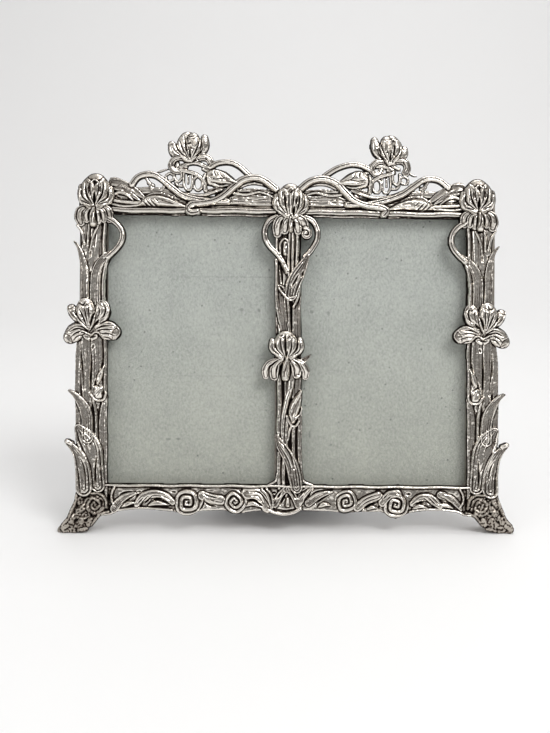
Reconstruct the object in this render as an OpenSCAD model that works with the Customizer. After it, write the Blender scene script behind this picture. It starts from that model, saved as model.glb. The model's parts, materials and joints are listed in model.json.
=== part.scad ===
// Double photo frame: a cast metal front with iris relief and open cresting, one sheet of
// glass over two windows, a grey board backed with velour, and a hinged easel leg.
// Each piece is drawn with the frame upright: X to the right, Y to the back, Z up, and the
// front face of the flat casting in the plane Y = 0. The whole frame then leans back.

/* [Windows] */
// Width of each window
window_w = 76.4; // [60:0.2:95]
// Height of each window
window_h = 123; // [100:0.5:150]
// Width of the bar between the windows
mullion_w = 11.6; // [9:0.2:14]
// Width of each outer stile
stile_w = 12.8; // [11.5:0.2:15]
// Height of the solid part of the top rail
top_rail_h = 9; // [8.5:0.1:11]
// Height of the bottom rail
bottom_rail_h = 11.2; // [10:0.1:14]
// Radius of the window corners
window_r = 2; // [1:0.1:3]

/* [Casting] */
// Thickness of the flat lip round the windows
lip_t = 2.2; // [1.6:0.1:3]
// Height of the stems and leaves above the lip
foliage_d = 2.4; // [1.8:0.1:3]
// Height of the petals above the stems
petal_d = 4.4; // [3:0.1:6]
// Width of an ordinary stem
stem_w = 2.4; // [1.8:0.1:2.8]
// Height of the cresting above the windows
crest_h = 25; // [20:0.5:30]
// Width of the finial blossoms
finial_w = 18; // [14:0.5:21]
// Height of the finial blossoms
finial_h = 13.6; // [10:0.2:16]
// Width of the blossoms on the top corners
corner_blossom_w = 16; // [13:0.5:18]
// Height of the corner blossoms above their waist
corner_blossom_h = 13.2; // [11:0.2:15]
// Width of the blossom at the head of the mullion
crown_blossom_w = 16; // [13:0.5:18]
// Width of the blossoms halfway up the stiles
stile_blossom_w = 24.6; // [20:0.5:28]
// Height of the stile blossoms above their waist
stile_blossom_h = 13.6; // [11:0.2:16]
// Width of the blossom halfway up the mullion
mullion_blossom_w = 20.4; // [16:0.5:24]
// Height of the mullion blossom above its waist
mullion_blossom_h = 11.6; // [9:0.2:14]
// Radius of the rolled roses on the bottom rail
rose_r = 5.3; // [4.5:0.1:6]

/* [Stance] */
// Angle that the frame leans back from upright
lean = 12; // [8:0.5:16]
// Height of the bottom rail above the table, measured along the frame
foot_h = 10.7; // [8:0.1:14]
// How far each foot splays out past its stile
foot_splay = 9.5; // [7:0.1:11]
// Angle between the open easel leg and the frame
leg_open = 30; // [26:0.5:36]

/* [Glazing and back] */
// How far the glass reaches past the windows at each side
glass_side_overlap = 6.7; // [5:0.1:7.5]
// How far the glass reaches past the windows above and below
glass_end_overlap = 2; // [1.5:0.1:2.5]
// Thickness of the glass
glass_t = 2; // [1.5:0.1:2.5]
// Space between the glass and the board for the photographs
photo_gap = 0.4; // [0.3:0.05:0.8]
// Thickness of the grey board
board_t = 2.4; // [1.8:0.1:3]
// Thickness of the velour
velour_t = 0.5; // [0.3:0.05:0.8]
// Clearance round the glass and the board in their recess
recess_clear = 0.5; // [0.3:0.05:0.8]

/* [Easel leg] */
// Width of the leg at the hinge
leg_top_w = 50; // [48:0.5:56]
// Width of the leg at the table
leg_foot_w = 66; // [56:0.5:72]
// Thickness of the board inside the leg
leg_board_t = 1.6; // [1.2:0.1:1.8]
// Thickness of the velour round the leg
leg_velour_t = 0.4; // [0.3:0.05:0.5]
// Height of the hinge pin, measured along the frame
hinge_z = 95.2; // [88:0.2:102]
// Width of the hinge
hinge_w = 46; // [42:0.5:47]
// Height of each hinge leaf
hinge_leaf_h = 10; // [9:0.2:13]
// Thickness of the hinge leaves
hinge_t = 0.7; // [0.5:0.05:0.9]
// Radius of the hinge knuckles
knuckle_r = 1.7; // [1.5:0.05:1.9]
// Radius of the hinge pin
pin_r = 0.8; // [0.6:0.05:0.9]

/* [Turn buttons] */
// Length of a turn button from end to end
button_l = 15; // [13:0.2:17]
// Width of a turn button
button_w = 5; // [4.4:0.1:5.6]
// Thickness of a turn button
button_t = 0.8; // [0.6:0.05:1]
// Radius of the screws
screw_r = 1; // [0.8:0.05:1.1]
// Radius of the screw heads
screw_head_r = 2.1; // [1.8:0.05:2.4]
// Height of the screw heads
screw_head_h = 1.1; // [0.8:0.05:1.4]

/* [Hidden] */
$fn = 48;
overrun = 1;
run_clear = 0.05;
seat_clear = 0.1;
bite = 0.3;
screw_depth = 4.2;
knuckle_gap = 0.2;
knuckle_count = 5;
staple_r = 0.35;
staple_span = 8;
staple_x = 16.1;
staple_rise = 5.5;
slot_w = 0.6;
slot_d = 0.5;
shank_out = 0.1;
button_x = 48;
spline_steps = 2;
bore_sides = 24;
metal = "silver";
steel = "lightsteelblue";
velour = "midnightblue";

half_w = mullion_w / 2 + window_w + stile_w;
window_z = foot_h + bottom_rail_h;
window_top = window_z + window_h;
rail_top = window_top + top_rail_h;
inner_x = mullion_w / 2 + window_w;
glass_w = 2 * (inner_x + glass_side_overlap);
glass_h = window_h + 2 * glass_end_overlap;
recess_w = glass_w + 2 * recess_clear;
recess_h = glass_h + 2 * recess_clear;
recess_z = window_z + window_h / 2 - recess_h / 2;
glass_y = lip_t;
board_y = glass_y + glass_t + photo_gap;
velour_y = board_y + board_t;
back_y = velour_y + velour_t;
rim_y = back_y + seat_clear;
button_y = rim_y + seat_clear;
blossom_d = foliage_d + petal_d;
big = 4 * half_w;

hinge_y = back_y + knuckle_r + seat_clear;
leg_t = leg_board_t + 2 * leg_velour_t;
leg_y = hinge_y + knuckle_r - hinge_t - leg_t;
hinge_height = hinge_z * cos(lean) - hinge_y * sin(lean);
leg_l = hinge_height / cos(leg_open - lean) + leg_t;
leg_slope = leg_open - lean;
leg_back_o = knuckle_r - hinge_t;
leg_reach = (hinge_height + leg_back_o * sin(leg_slope)) * tan(leg_slope) + leg_back_o * cos(leg_slope);
back_reach = hinge_z * sin(lean) + hinge_y * cos(lean) + leg_reach;
// The toes' leaves stand out furthest to the front, at their own height above the table
toe_share = 0.7;
toe_z = foot_h * 0.15;
front_reach = foliage_d * toe_share * cos(lean) - toe_z * sin(lean);
tongue_gap = hinge_y - back_y - hinge_t - seat_clear;
tongue_l = (tongue_gap + leg_back_o * cos(leg_open)) / sin(leg_open);

side_button_z = window_z + window_h * 0.5;
top_button_z = (recess_z + recess_h + rail_top) / 2;
bottom_button_z = (foot_h + recess_z) / 2;
side_button_x = (recess_w / 2 + half_w) / 2;
// Places of the screws, and the way that each button points at rest: [x, z, turn]
button_places = [
    [-button_x, top_button_z, -90],
    [button_x, top_button_z, -90],
    [-button_x, bottom_button_z, 90],
    [button_x, bottom_button_z, 90],
    [-side_button_x, side_button_z, 0],
    [side_button_x, side_button_z, 180]
];

// How the half width of a strand changes along it: [share of its length, share of its width]
stem_swell_shares = [[0, 1], [1, 1]];
taper_swell_shares = [[0, 1], [0.6, 0.9], [1, 0.35]];
leaf_swell_shares = [[0, 0.7], [0.4, 1], [0.75, 0.8], [1, 0.12]];
stalk_swell_shares = [[0, 0.8], [0.5, 1], [1, 1]];
bud_swell_shares = [[0, 0.3], [0.35, 1], [0.7, 0.65], [1, 0.1]];
petal_swell_shares = [[0, 0.35], [0.5, 0.9], [0.75, 1], [1, 0.45]];
// Sections of a strand: [share of its half width, share of its height]. A stem is full, a blade is
// hollow between raised rims, and a petal rises to the rib along its middle.
stem_section_shares = [[-1, 0], [-0.55, 0.88], [0.45, 1], [1, 0]];
blade_section_shares = [[-1, 0], [-0.78, 1], [-0.1, 0.5], [0.74, 0.92], [1, 0]];
petal_section_shares = [[-1, 0], [-0.7, 0.76], [0, 1], [0.7, 0.72], [1, 0]];
// A strand's height keeps this share where its width closes to nothing
tip_height_share = 0.4;

// Catmull-Rom curve through the points of p
function curve_point(a, b, c, d, t) =
    b + t / 2 * ((c - a) + t * ((2 * a - 5 * b + 4 * c - d) + t * (3 * b - a - 3 * c + d)));
function curve(p, steps = spline_steps) = let (last = len(p) - 1) [
    for (i = [0 : last - 1]) for (s = [0 : steps - 1])
        curve_point(p[max(i - 1, 0)], p[i], p[i + 1], p[min(i + 2, last)], s / steps),
    p[last]
];

// Direction of the curve at its point i, and the direction across it in the plane of the frame
function along(p, i) = let (d = p[min(i + 1, len(p) - 1)] - p[max(i - 1, 0)]) d / norm(d);
function across(p, i) = let (d = along(p, i)) [d[1], -d[0]];

// Closed strand with a flat back: its path is a list of [x, z], and its section stands out to -Y
module strand(path, half, height, swell, section, back = 0) {
    rings = len(path);
    sides = len(section);
    points = [
        for (i = [0 : rings - 1])
            let (grow = lookup(i / (rings - 1), swell), side = across(path, i))
                for (s = section) [
                    path[i][0] + side[0] * s[0] * half * grow,
                    -back - s[1] * height * (tip_height_share + (1 - tip_height_share) * grow),
                    path[i][1] + side[1] * s[0] * half * grow
                ]
    ];
    walls = [
        for (i = [0 : rings - 2]) for (j = [0 : sides - 1])
            let (a = i * sides + j, b = i * sides + (j + 1) % sides)
                for (f = [[a, b + sides, b], [a, a + sides, b + sides]]) f
    ];
    first = [for (j = [1 : sides - 2]) [0, j, j + 1]];
    last = (rings - 1) * sides;
    ends = [for (j = [1 : sides - 2]) [last, last + j + 1, last + j]];
    polyhedron(points = points, faces = concat(walls, first, ends));
}

// Strands in rows of [path, share of half a stem's width, share of the foliage's height]. The path's
// places are shares of span from the point at.
module sprigs(rows, at, span, swell, section) {
    for (r = rows)
        strand(curve([for (p = r[0]) [at[0] + p[0] * span[0], at[1] + p[1] * span[1]]]),
            stem_w / 2 * r[1], foliage_d * r[2], swell, section);
}

// Trims an ornament, drawn at its real size, to its stated height above the lip
module trimmed(height) {
    resize([0, height, 0]) children();
}

// Slab between two depths, from an outline drawn in X and Z
module slab(front, back) {
    translate([0, back, 0]) rotate([90, 0, 0]) linear_extrude(back - front) children();
}

module box(x0, x1, y0, y1, z0, z1) {
    translate([x0, y0, z0]) cube([x1 - x0, y1 - y0, z1 - z0]);
}

// Leans the frame back, and sets the middle of its depth over the middle of its box
module leaned() {
    translate([0, (front_reach - back_reach) / 2, 0]) rotate([-lean, 0, 0]) children();
}

module above_table() {
    difference() {
        children();
        translate([-big / 2, -big / 2, -big]) cube([big, big, big]);
    }
}

module mirrored(side) {
    if (side > 0) mirror([1, 0, 0]) children();
    else children();
}

// Outline of a rail's lip between the stiles, with the rounded corners of both windows
module rail_outline(low, high, edge, way) {
    translate([-inner_x, low]) square([2 * inner_x, high - low]);
    for (x = [-inner_x, -mullion_w / 2, mullion_w / 2, inner_x])
        corner_fill(x, edge, way);
}

// One rounded corner: the square that fills it, less the circle
module corner_fill(x, edge, way) {
    side = x == -inner_x || x == mullion_w / 2 ? 1 : -1;
    difference() {
        translate([min(x, x + side * window_r), min(edge, edge + way * window_r)])
            square([window_r, window_r]);
        translate([x + side * window_r, edge + way * window_r]) circle(window_r);
    }
}

module screw_holes() {
    for (p = button_places)
        translate([p[0], rim_y + overrun, p[1]]) rotate([90, 0, 0])
            cylinder(r = screw_r, h = screw_depth + overrun);
}

module top_rail() {
    color(metal) difference() {
        union() {
            slab(0, lip_t) rail_outline(window_top, rail_top, window_top, -1);
            box(-inner_x, inner_x, lip_t, rim_y, recess_z + recess_h, rail_top);
        }
        screw_holes();
    }
}

module bottom_rail() {
    color(metal) difference() {
        union() {
            slab(0, lip_t) rail_outline(foot_h, window_z, window_z, 1);
            box(-inner_x, inner_x, lip_t, rim_y, foot_h, recess_z);
        }
        screw_holes();
    }
}

// Stile with its rabbet: the lip shows beside the window and the rim stands behind it
module stile(side) {
    color(metal) mirrored(side) difference() {
        box(-half_w, -inner_x, 0, rim_y, foot_h, rail_top);
        box(-recess_w / 2, 0, lip_t, rim_y + overrun, recess_z, recess_z + recess_h);
        screw_holes();
    }
}

module mullion() {
    color(metal) box(-mullion_w / 2, mullion_w / 2, 0, lip_t, window_z, window_top);
}

// Cresting. Places are [share of the half width from the middle, share of the crest height].
crest_at = [0, window_top];
crest_span = [-half_w, crest_h];
crest_stems_shares = [
    [[[0.86, 0.56], [0.726, 0.63], [0.659, 0.77], [0.615, 0.72], [0.559, 0.55], [0.503, 0.38],
        [0.447, 0.28], [0.268, 0.19], [0.045, 0.17]], 1.25, 0.92],
    [[[0.458, 0.1], [0.469, 0.17], [0.425, 0.24], [0.313, 0.35], [0.268, 0.49], [0.223, 0.63],
        [0.168, 0.71], [0.112, 0.66], [0.045, 0.47]], 1.25, 1],
    [[[0.391, 0.91], [0.313, 0.95], [0.223, 0.9], [0.156, 0.71]], 1.2, 0.85],
    [[[0.559, 0.85], [0.469, 0.74], [0.402, 0.53], [0.38, 0.42]], 0.75, 0.7],
    [[[0.547, 0.87], [0.554, 0.66], [0.531, 0.51], [0.501, 0.57], [0.496, 0.79]], 0.65, 0.6],
    [[[0.494, 0.79], [0.492, 0.55], [0.469, 0.44], [0.447, 0.53], [0.442, 0.7]], 0.65, 0.6],
    [[[0.737, 0.49], [0.67, 0.46], [0.615, 0.49], [0.564, 0.57]], 0.95, 0.7],
    [[[0.302, 0.43], [0.223, 0.5], [0.134, 0.49], [0.045, 0.4]], 0.85, 0.65],
    [[[0.346, 0.32], [0.145, 0.4], [0.045, 0.32]], 0.85, 0.65],
    [[[0.86, 0.07], [0.045, 0.07]], 0.9, 0.75]
];
crest_leaves_shares = [
    [[[0.86, 0.64], [0.804, 0.58], [0.737, 0.47], [0.67, 0.3]], 2.1, 0.9],
    [[[0.86, 0.38], [0.782, 0.36], [0.715, 0.3], [0.659, 0.22]], 1.8, 0.8],
    [[[0.425, 0.45], [0.402, 0.57], [0.387, 0.7], [0.387, 0.83]], 1.4, 0.8]
];
crest_buds_shares = [
    [[[0.385, 0.8], [0.358, 0.73], [0.313, 0.67], [0.24, 0.57]], 2.8, 1],
    [[[0.67, 0.2], [0.626, 0.25], [0.57, 0.23], [0.514, 0.17], [0.458, 0.12]], 2.2, 0.95]
];
crest_falls_shares = [
    [[[0.45, 0.98], [0.5, 0.97], [0.545, 0.93], [0.56, 0.84], [0.53, 0.79], [0.51, 0.85]], 1.1, 0.95],
    [[[0.45, 0.98], [0.41, 0.97], [0.375, 0.93], [0.355, 0.83]], 1.3, 0.95]
];

module crest_drawing() {
    sprigs(crest_stems_shares, crest_at, crest_span, stem_swell_shares, stem_section_shares);
    sprigs(crest_leaves_shares, crest_at, crest_span, leaf_swell_shares, blade_section_shares);
    sprigs(crest_buds_shares, crest_at, crest_span, bud_swell_shares, stem_section_shares);
    sprigs(crest_falls_shares, crest_at, crest_span, taper_swell_shares, stem_section_shares);
}

module cresting(side) {
    color(metal) mirrored(side) trimmed(foliage_d) intersection() {
        crest_drawing();
        box(-half_w + corner_pad_w, -crown_pad_w / 2, -big, 0, window_top, window_top + crest_h);
    }
}

// Petals: [path shares of half the blossom's width and of its height, half width share, height share]
corner_petals_shares = [
    [[[-0.2, 0.02], [-0.82, 0.4], [-0.8, 0.84]], 0.3, 0.55],
    [[[0.2, 0.02], [0.82, 0.4], [0.8, 0.84]], 0.3, 0.55],
    [[[-0.1, 0], [-0.52, 0.45], [-0.42, 0.96]], 0.34, 0.8],
    [[[0.1, 0], [0.52, 0.45], [0.42, 0.96]], 0.34, 0.8],
    [[[0, -0.05], [0, 0.45], [0, 1]], 0.4, 1],
    [[[-0.1, -0.04], [-0.62, -0.12], [-0.9, -0.5]], 0.32, 0.66],
    [[[0.1, -0.04], [0.62, -0.12], [0.86, -0.42]], 0.32, 0.66],
    [[[-0.05, 0], [-0.3, -0.3], [-0.32, -0.62]], 0.3, 0.8],
    [[[0.05, 0], [0.3, -0.3], [0.32, -0.58]], 0.3, 0.8]
];
stile_petals_shares = [
    [[[-0.1, 0.05], [-0.5, 0.4], [-0.86, 0.66]], 0.24, 0.7],
    [[[0.05, 0.05], [0.38, 0.42], [0.42, 0.86]], 0.32, 0.8],
    [[[0, 0], [-0.16, 0.5], [-0.25, 1]], 0.34, 1],
    [[[0, -0.02], [-0.5, 0.08], [-0.86, -0.12], [-0.84, -0.46]], 0.27, 0.85],
    [[[0, -0.02], [0.5, 0.08], [0.86, -0.08], [0.8, -0.4]], 0.29, 0.85],
    [[[0, 0.05], [-0.06, -0.25], [0, -0.52]], 0.3, 0.7]
];
mullion_petals_shares = [
    [[[-0.1, 0], [-0.48, 0.45], [-0.4, 0.94]], 0.38, 0.85],
    [[[0.1, 0], [0.46, 0.45], [0.4, 0.94]], 0.38, 0.85],
    [[[0, -0.05], [0, 0.45], [0, 1]], 0.24, 1],
    [[[-0.05, 0], [-0.68, -0.1], [-0.92, -0.75]], 0.28, 0.7],
    [[[0.05, 0], [0.65, -0.12], [0.8, -0.8]], 0.29, 0.7],
    [[[-0.05, 0], [-0.38, -0.4], [-0.44, -0.88]], 0.28, 0.85],
    [[[0.02, 0.05], [0.08, -0.5], [0.05, -0.98]], 0.25, 0.9]
];
finial_petals_shares = [
    [[[-0.15, -0.1], [-0.5, 0.26], [-0.88, 0.6]], 0.3, 0.6],
    [[[0.15, -0.1], [0.6, 0.35], [0.74, 0.92]], 0.3, 0.7],
    [[[-0.08, -0.1], [-0.4, 0.5], [-0.44, 0.88]], 0.3, 0.8],
    [[[0.04, -0.1], [0.02, 0.5], [0, 1]], 0.46, 1]
];

// Petals round a waist, each with its flat back against the height where the stems end
module petals(shares, half, rise, back) {
    for (p = shares)
        strand(curve([for (q = p[0]) [q[0] * half, q[1] * rise]]), half * p[1],
            petal_d * p[2], petal_swell_shares, petal_section_shares, back);
}

pad_share = 0.92;
corner_pad_w = corner_blossom_w * 0.84;
corner_pad_h = corner_blossom_h * 1.42;
corner_waist_z = window_top + crest_h * 0.14;
corner_x = half_w - corner_pad_w / 2;
crown_pad_w = crown_blossom_w * 0.76;

// Blossom on a pad as thick as the stems, which stands on the flat casting
module blossom(shares, x, z, w, rise, pad_w, pad_low, pad_high) {
    translate([x, 0, z]) trimmed(blossom_d) {
        petals(shares, w / 2, rise, foliage_d);
        box(-pad_w / 2, pad_w / 2, -foliage_d - bite, 0, pad_low, pad_high);
    }
}

module corner_blossom(side) {
    color(metal) mirrored(side)
        blossom(corner_petals_shares, -corner_x, corner_waist_z, corner_blossom_w, corner_blossom_h,
            corner_pad_w, -corner_pad_h * 0.4, corner_pad_h * 0.6);
}

module crown_blossom() {
    color(metal)
        blossom(corner_petals_shares, 0, window_top + crest_h * 0.03, crown_blossom_w,
            corner_blossom_h, crown_pad_w, -corner_pad_h * 0.52, corner_pad_h * 0.6);
}

stile_waist_z = window_z + window_h * 0.575;
mullion_waist_z = window_z + window_h * 0.468;

module stile_blossom(side) {
    color(metal) mirrored(side)
        blossom(stile_petals_shares, -half_w + stile_w * 0.47, stile_waist_z, stile_blossom_w,
            stile_blossom_h, stile_w * pad_share, -stile_blossom_h * 0.5, stile_blossom_h * 0.8);
}

module mullion_blossom() {
    color(metal)
        blossom(mullion_petals_shares, 0, mullion_waist_z, mullion_blossom_w, mullion_blossom_h,
            mullion_w * pad_share, -mullion_blossom_h * 0.8, mullion_blossom_h * 0.8);
}

finial_x = half_w * 0.464;

// The finial stands on the cresting, with its flat foot on the top of the crest
module finial(side) {
    color(metal) mirrored(side) translate([-finial_x, 0, window_top + crest_h])
        trimmed(petal_d) intersection() {
            petals(finial_petals_shares, finial_w / 2, finial_h, 0);
            box(-finial_w, finial_w, -finial_w, 0, 0, 2 * finial_h);
        }
}

// Stems, leaves and buds of a stile: [share of the stile's width from its outer edge, share of
// the window's height from its foot]
stile_at = [-half_w, window_z];
stile_span = [stile_w, window_h];
stile_stems_shares = [
    [[[0.91, -0.03], [0.9, 0.55]], 0.85, 0.7],
    [[[0.9, 0.62], [0.89, 0.75], [0.99, 0.86]], 0.95, 0.75],
    [[[0.62, 0.15], [0.67, 0.3]], 0.65, 0.7],
    [[[0.7, 0.42], [0.7, 0.55]], 0.9, 0.7],
    [[[0.85, 0.866], [0.87, 0.918], [0.82, 0.99]], 0.85, 0.7],
    [[[1.04, 0.854], [1.37, 0.873], [1.55, 0.901], [1.6, 0.935], [1.48, 0.966], [1.12, 0.996]], 0.95, 0.9]
];
stile_stalks_shares = [
    [[[0, 0.32], [-0.01, 0.43], [0.07, 0.55]], 1.7, 0.8],
    [[[0.26, 0.3], [0.24, 0.43], [0.3, 0.55]], 1.6, 0.85],
    [[[0.51, 0.36], [0.5, 0.44], [0.55, 0.55]], 1.5, 0.75],
    [[[0.4, 0.62], [0.39, 0.75], [0.36, 0.84], [0.29, 0.99]], 1.6, 0.8],
    [[[0.62, 0.82], [0.61, 0.99]], 1.4, 0.75],
    [[[0.66, 0.62], [0.61, 0.745], [0.69, 0.806], [0.99, 0.852], [1.32, 0.871]], 1.6, 0.95]
];
stile_leaves_shares = [
    [[[0.44, 0.15], [0.44, 0.228], [0.27, 0.288], [-0.01, 0.322], [-0.26, 0.335]], 2.4, 0.95],
    [[[0.74, -0.03], [0.72, 0.046], [0.62, 0.129], [0.34, 0.188], [-0.04, 0.219]], 3.1, 1],
    [[[0.27, -0.04], [0.24, 0], [0.12, 0.067], [-0.09, 0.119], [-0.43, 0.148]], 2.8, 1],
    [[[0.12, 0.62], [0.11, 0.754], [0.06, 0.832], [-0.16, 0.9]], 1.7, 0.9]
];
stile_buds_shares = [[[[0.64, 0.29], [0.66, 0.34], [0.74, 0.392], [0.87, 0.443]], 2.2, 0.95]];

module stile_drawing() {
    sprigs(stile_stems_shares, stile_at, stile_span, stem_swell_shares, stem_section_shares);
    sprigs(stile_stalks_shares, stile_at, stile_span, stalk_swell_shares, blade_section_shares);
    sprigs(stile_leaves_shares, stile_at, stile_span, leaf_swell_shares, blade_section_shares);
    sprigs(stile_buds_shares, stile_at, stile_span, bud_swell_shares, stem_section_shares);
}

stile_pad_low = stile_waist_z - stile_blossom_h * 0.5;
stile_pad_high = stile_waist_z + stile_blossom_h * 0.8;
corner_pad_low = corner_waist_z - corner_pad_h * 0.4;

// Foliage between two heights of a stile; above the higher blossom it includes the loop
module stile_foliage(side) {
    color(metal) mirrored(side) trimmed(foliage_d) intersection() {
        stile_drawing();
        union() {
            box(-2 * half_w, -inner_x + bite, -big, 0, window_z - bite, stile_pad_low);
            box(-2 * half_w, -inner_x + bite, -big, 0, stile_pad_high, corner_pad_low);
            box(-half_w + corner_pad_w, -mullion_w, -big, 0, stile_pad_high, window_top);
        }
    }
}

// Stems, leaves and buds of the mullion: [share of half its width, share of the window's height]
mullion_at = [0, window_z];
mullion_span = [mullion_w / 2, window_h];
mullion_stems_shares = [
    [[[-0.82, -0.02], [-0.81, 0.41]], 0.8, 0.7],
    [[[0.87, 0.16], [0.85, 0.41]], 0.75, 0.7],
    [[[-0.84, 0.88], [-0.81, 0.69]], 0.8, 0.7],
    [[[0, 0.75], [0, 0.95]], 1, 0.8],
    [[[0.46, 0.78], [0.4, 0.95]], 1, 0.8],
    [[[0.86, 0.82], [0.84, 0.95]], 0.8, 0.7],
    [[[-0.81, 0.999], [-1.61, 0.984], [-1.96, 0.944], [-1.74, 0.901], [-1.13, 0.863], [-0.59, 0.832],
        [-0.18, 0.78], [-0.07, 0.737]], 0.95, 0.9],
    [[[1.1, 0.999], [2.01, 0.989], [2.45, 0.954], [2.42, 0.918], [1.98, 0.873], [1.46, 0.84]], 0.95, 0.9]
];
mullion_stalks_shares = [
    [[[-0.7, 0.711], [-0.55, 0.642], [-0.33, 0.52]], 1.5, 0.9],
    [[[0.11, 0.685], [0.04, 0.633], [0.07, 0.52]], 1.2, 0.75],
    [[[0.73, 0.711], [0.66, 0.642], [0.55, 0.52]], 1.5, 0.9],
    [[[-0.26, 0.115], [-0.35, 0.219], [-0.18, 0.322], [0.07, 0.41]], 1.2, 0.75]
];
mullion_leaves_shares = [
    [[[0.73, -0.03], [0.73, 0.02], [0.26, 0.081], [-0.44, 0.136], [-0.95, 0.18]], 1.9, 1],
    [[[-0.3, -0.03], [-0.2, 0.02], [-0.35, 0.08]], 1.5, 0.8],
    [[[1.65, 0.852], [1.17, 0.813], [0.55, 0.763], [-0.07, 0.719], [-0.48, 0.699]], 2, 1]
];
mullion_buds_shares = [[[[0.55, 0.2], [0.6, 0.26], [0.59, 0.32], [0.46, 0.375]], 2.1, 0.95]];

module mullion_drawing() {
    sprigs(mullion_stems_shares, mullion_at, mullion_span, stem_swell_shares, stem_section_shares);
    sprigs(mullion_stalks_shares, mullion_at, mullion_span, stalk_swell_shares, blade_section_shares);
    sprigs(mullion_leaves_shares, mullion_at, mullion_span, leaf_swell_shares, blade_section_shares);
    sprigs(mullion_buds_shares, mullion_at, mullion_span, bud_swell_shares, stem_section_shares);
}

mullion_pad_low = mullion_waist_z - mullion_blossom_h * 0.8;
mullion_pad_high = mullion_waist_z + mullion_blossom_h * 0.8;
crown_pad_low = window_top + crest_h * 0.03 - corner_pad_h * 0.52;

module mullion_foliage() {
    color(metal) trimmed(foliage_d) intersection() {
        mullion_drawing();
        union() {
            box(-mullion_w, mullion_w, -big, 0, window_z - bite, mullion_pad_low);
            box(-mullion_w, mullion_w, -big, 0, mullion_pad_high, crown_pad_low);
            for (side = [-1, 1])
                box(side > 0 ? crown_pad_w / 2 : -window_w / 2, side > 0 ? window_w / 2 : -crown_pad_w / 2,
                    -big, 0, mullion_pad_high, window_top);
        }
    }
}

// Bottom rail. Places are [share of the half width from the middle, share of the rail's height].
rail_at = [0, foot_h];
rose_places_shares = [[-0.492, 0.27], [-0.255, 0.32], [0.279, 0.34], [0.521, 0.24]];
rose_coil_share = 0.84;
rose_end_share = 0.15;
rose_turns = 1.6;
rose_start = 60;
rose_points = 13;
rose_strand_share = 0.2;
rail_leaves_shares = [
    [[[0.855, 0.9], [0.834, 0.6], [0.83, 0.1]], 1.2, 0.75],
    [[[0.838, 0.08], [0.804, 0.37], [0.76, 0.62], [0.699, 0.72]], 1.5, 0.85],
    [[[0.722, 0.1], [0.704, 0.42], [0.648, 0.64], [0.585, 0.58], [0.536, 0.3]], 2, 1],
    [[[0.682, 0.13], [0.626, 0.22], [0.559, 0.12]], 1.1, 0.7],
    [[[0.436, 0.72], [0.387, 0.45], [0.324, 0.12]], 1.5, 0.85],
    [[[0.201, 0.68], [0.141, 0.6], [0.101, 0.31], [0.085, 0.08]], 1.6, 0.9]
];
rail_stems_shares = [
    [[[0.076, 0.05], [0.047, 0.41], [0.002, 0.78]], 1, 0.95],
    [[[0.86, 0.93], [0, 0.93]], 0.65, 0.65]
];

// Archimedes' spiral, from its rim in to the heart of a rose
function spiral(x, z, r) = [
    for (i = [0 : rose_points - 1])
        let (t = i / (rose_points - 1), a = 360 * rose_turns * t - rose_start,
            reach = r * rose_coil_share * (1 - (1 - rose_end_share) * t))
            [x + reach * cos(a), z + reach * sin(a)]
];

module rose(x, z, r) {
    strand(spiral(x, z, r), r * rose_strand_share, foliage_d, taper_swell_shares, stem_section_shares);
}

module bottom_drawing() {
    for (p = rose_places_shares) rose(p[0] * half_w, foot_h + p[1] * bottom_rail_h, rose_r);
    for (side = [-1, 1]) {
        sprigs(rail_leaves_shares, rail_at, [side * half_w, bottom_rail_h], leaf_swell_shares,
            blade_section_shares);
        sprigs(rail_stems_shares, rail_at, [side * half_w, bottom_rail_h], stem_swell_shares,
            stem_section_shares);
    }
}

module bottom_foliage() {
    color(metal) trimmed(foliage_d) intersection() {
        bottom_drawing();
        box(-inner_x, inner_x, -big, 0, foot_h, window_z - bite);
    }
}

// Foot. Places are [share of the splay from the stile's outer edge, share of the foot's height
// from the bottom rail].
foot_at = [-half_w, foot_h];
foot_span = [-foot_splay, foot_h];
foot_outline_shares = [[0, 0.88], [0.08, 0.49], [0.23, 0.05], [0.5, -0.37], [0.88, -0.7], [1, -0.9],
    [0.86, -1.1], [0.36, -1.06], [-0.06, -0.84], [-0.44, -0.64], [-0.88, -0.38], [-1.34, -0.19], [-1.34, 0]];
toe_leaves_shares = [
    [[[0.08, 0.6], [0.17, 0.25], [0.46, -0.27], [0.73, -0.66]], 1.2, 0.85],
    [[[-0.2, 0], [0.04, -0.37], [0.42, -0.66]], 1.7, 0.8],
    [[[-0.39, 0.9], [-0.17, 0.5], [-0.2, -0.05]], 1.3, 0.8]
];
toe_stems_shares = [
    [[[-1.2, -0.12], [-0.88, -0.25], [-0.39, -0.5], [0.12, -0.75], [0.6, -0.85]], 0.9, toe_share]
];
knee_x_share = 0.57;
knee_z_share = 0.2;

// Bracket foot under a stile, splayed outwards to its toe; its shoulder runs up beside the stile
module foot(side) {
    color(metal) above_table() leaned() mirrored(side) difference() {
        slab(0, rim_y) polygon(curve([for (p = foot_outline_shares)
            [foot_at[0] + p[0] * foot_span[0], foot_at[1] + p[1] * foot_span[1]]]));
        box(-half_w, 0, -overrun, rim_y + overrun, foot_h, rail_top);
    }
}

// Rolled rose over the foot, with the leaves that run down to the toe
module knee_rose(side) {
    color(metal) leaned() mirrored(side) trimmed(foliage_d) intersection() {
        union() {
            rose(-half_w + stile_w * knee_x_share, foot_h + bottom_rail_h * knee_z_share, rose_r);
            sprigs(toe_leaves_shares, foot_at, foot_span, leaf_swell_shares, blade_section_shares);
            sprigs(toe_stems_shares, foot_at, foot_span, stem_swell_shares, stem_section_shares);
        }
        box(-half_w - foot_splay, -inner_x, -big, 0, 0, window_z - bite);
    }
}

module glass() {
    color("azure", 0.35)
        box(-glass_w / 2, glass_w / 2, glass_y, glass_y + glass_t,
            recess_z + recess_clear, recess_z + recess_clear + glass_h);
}

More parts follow.
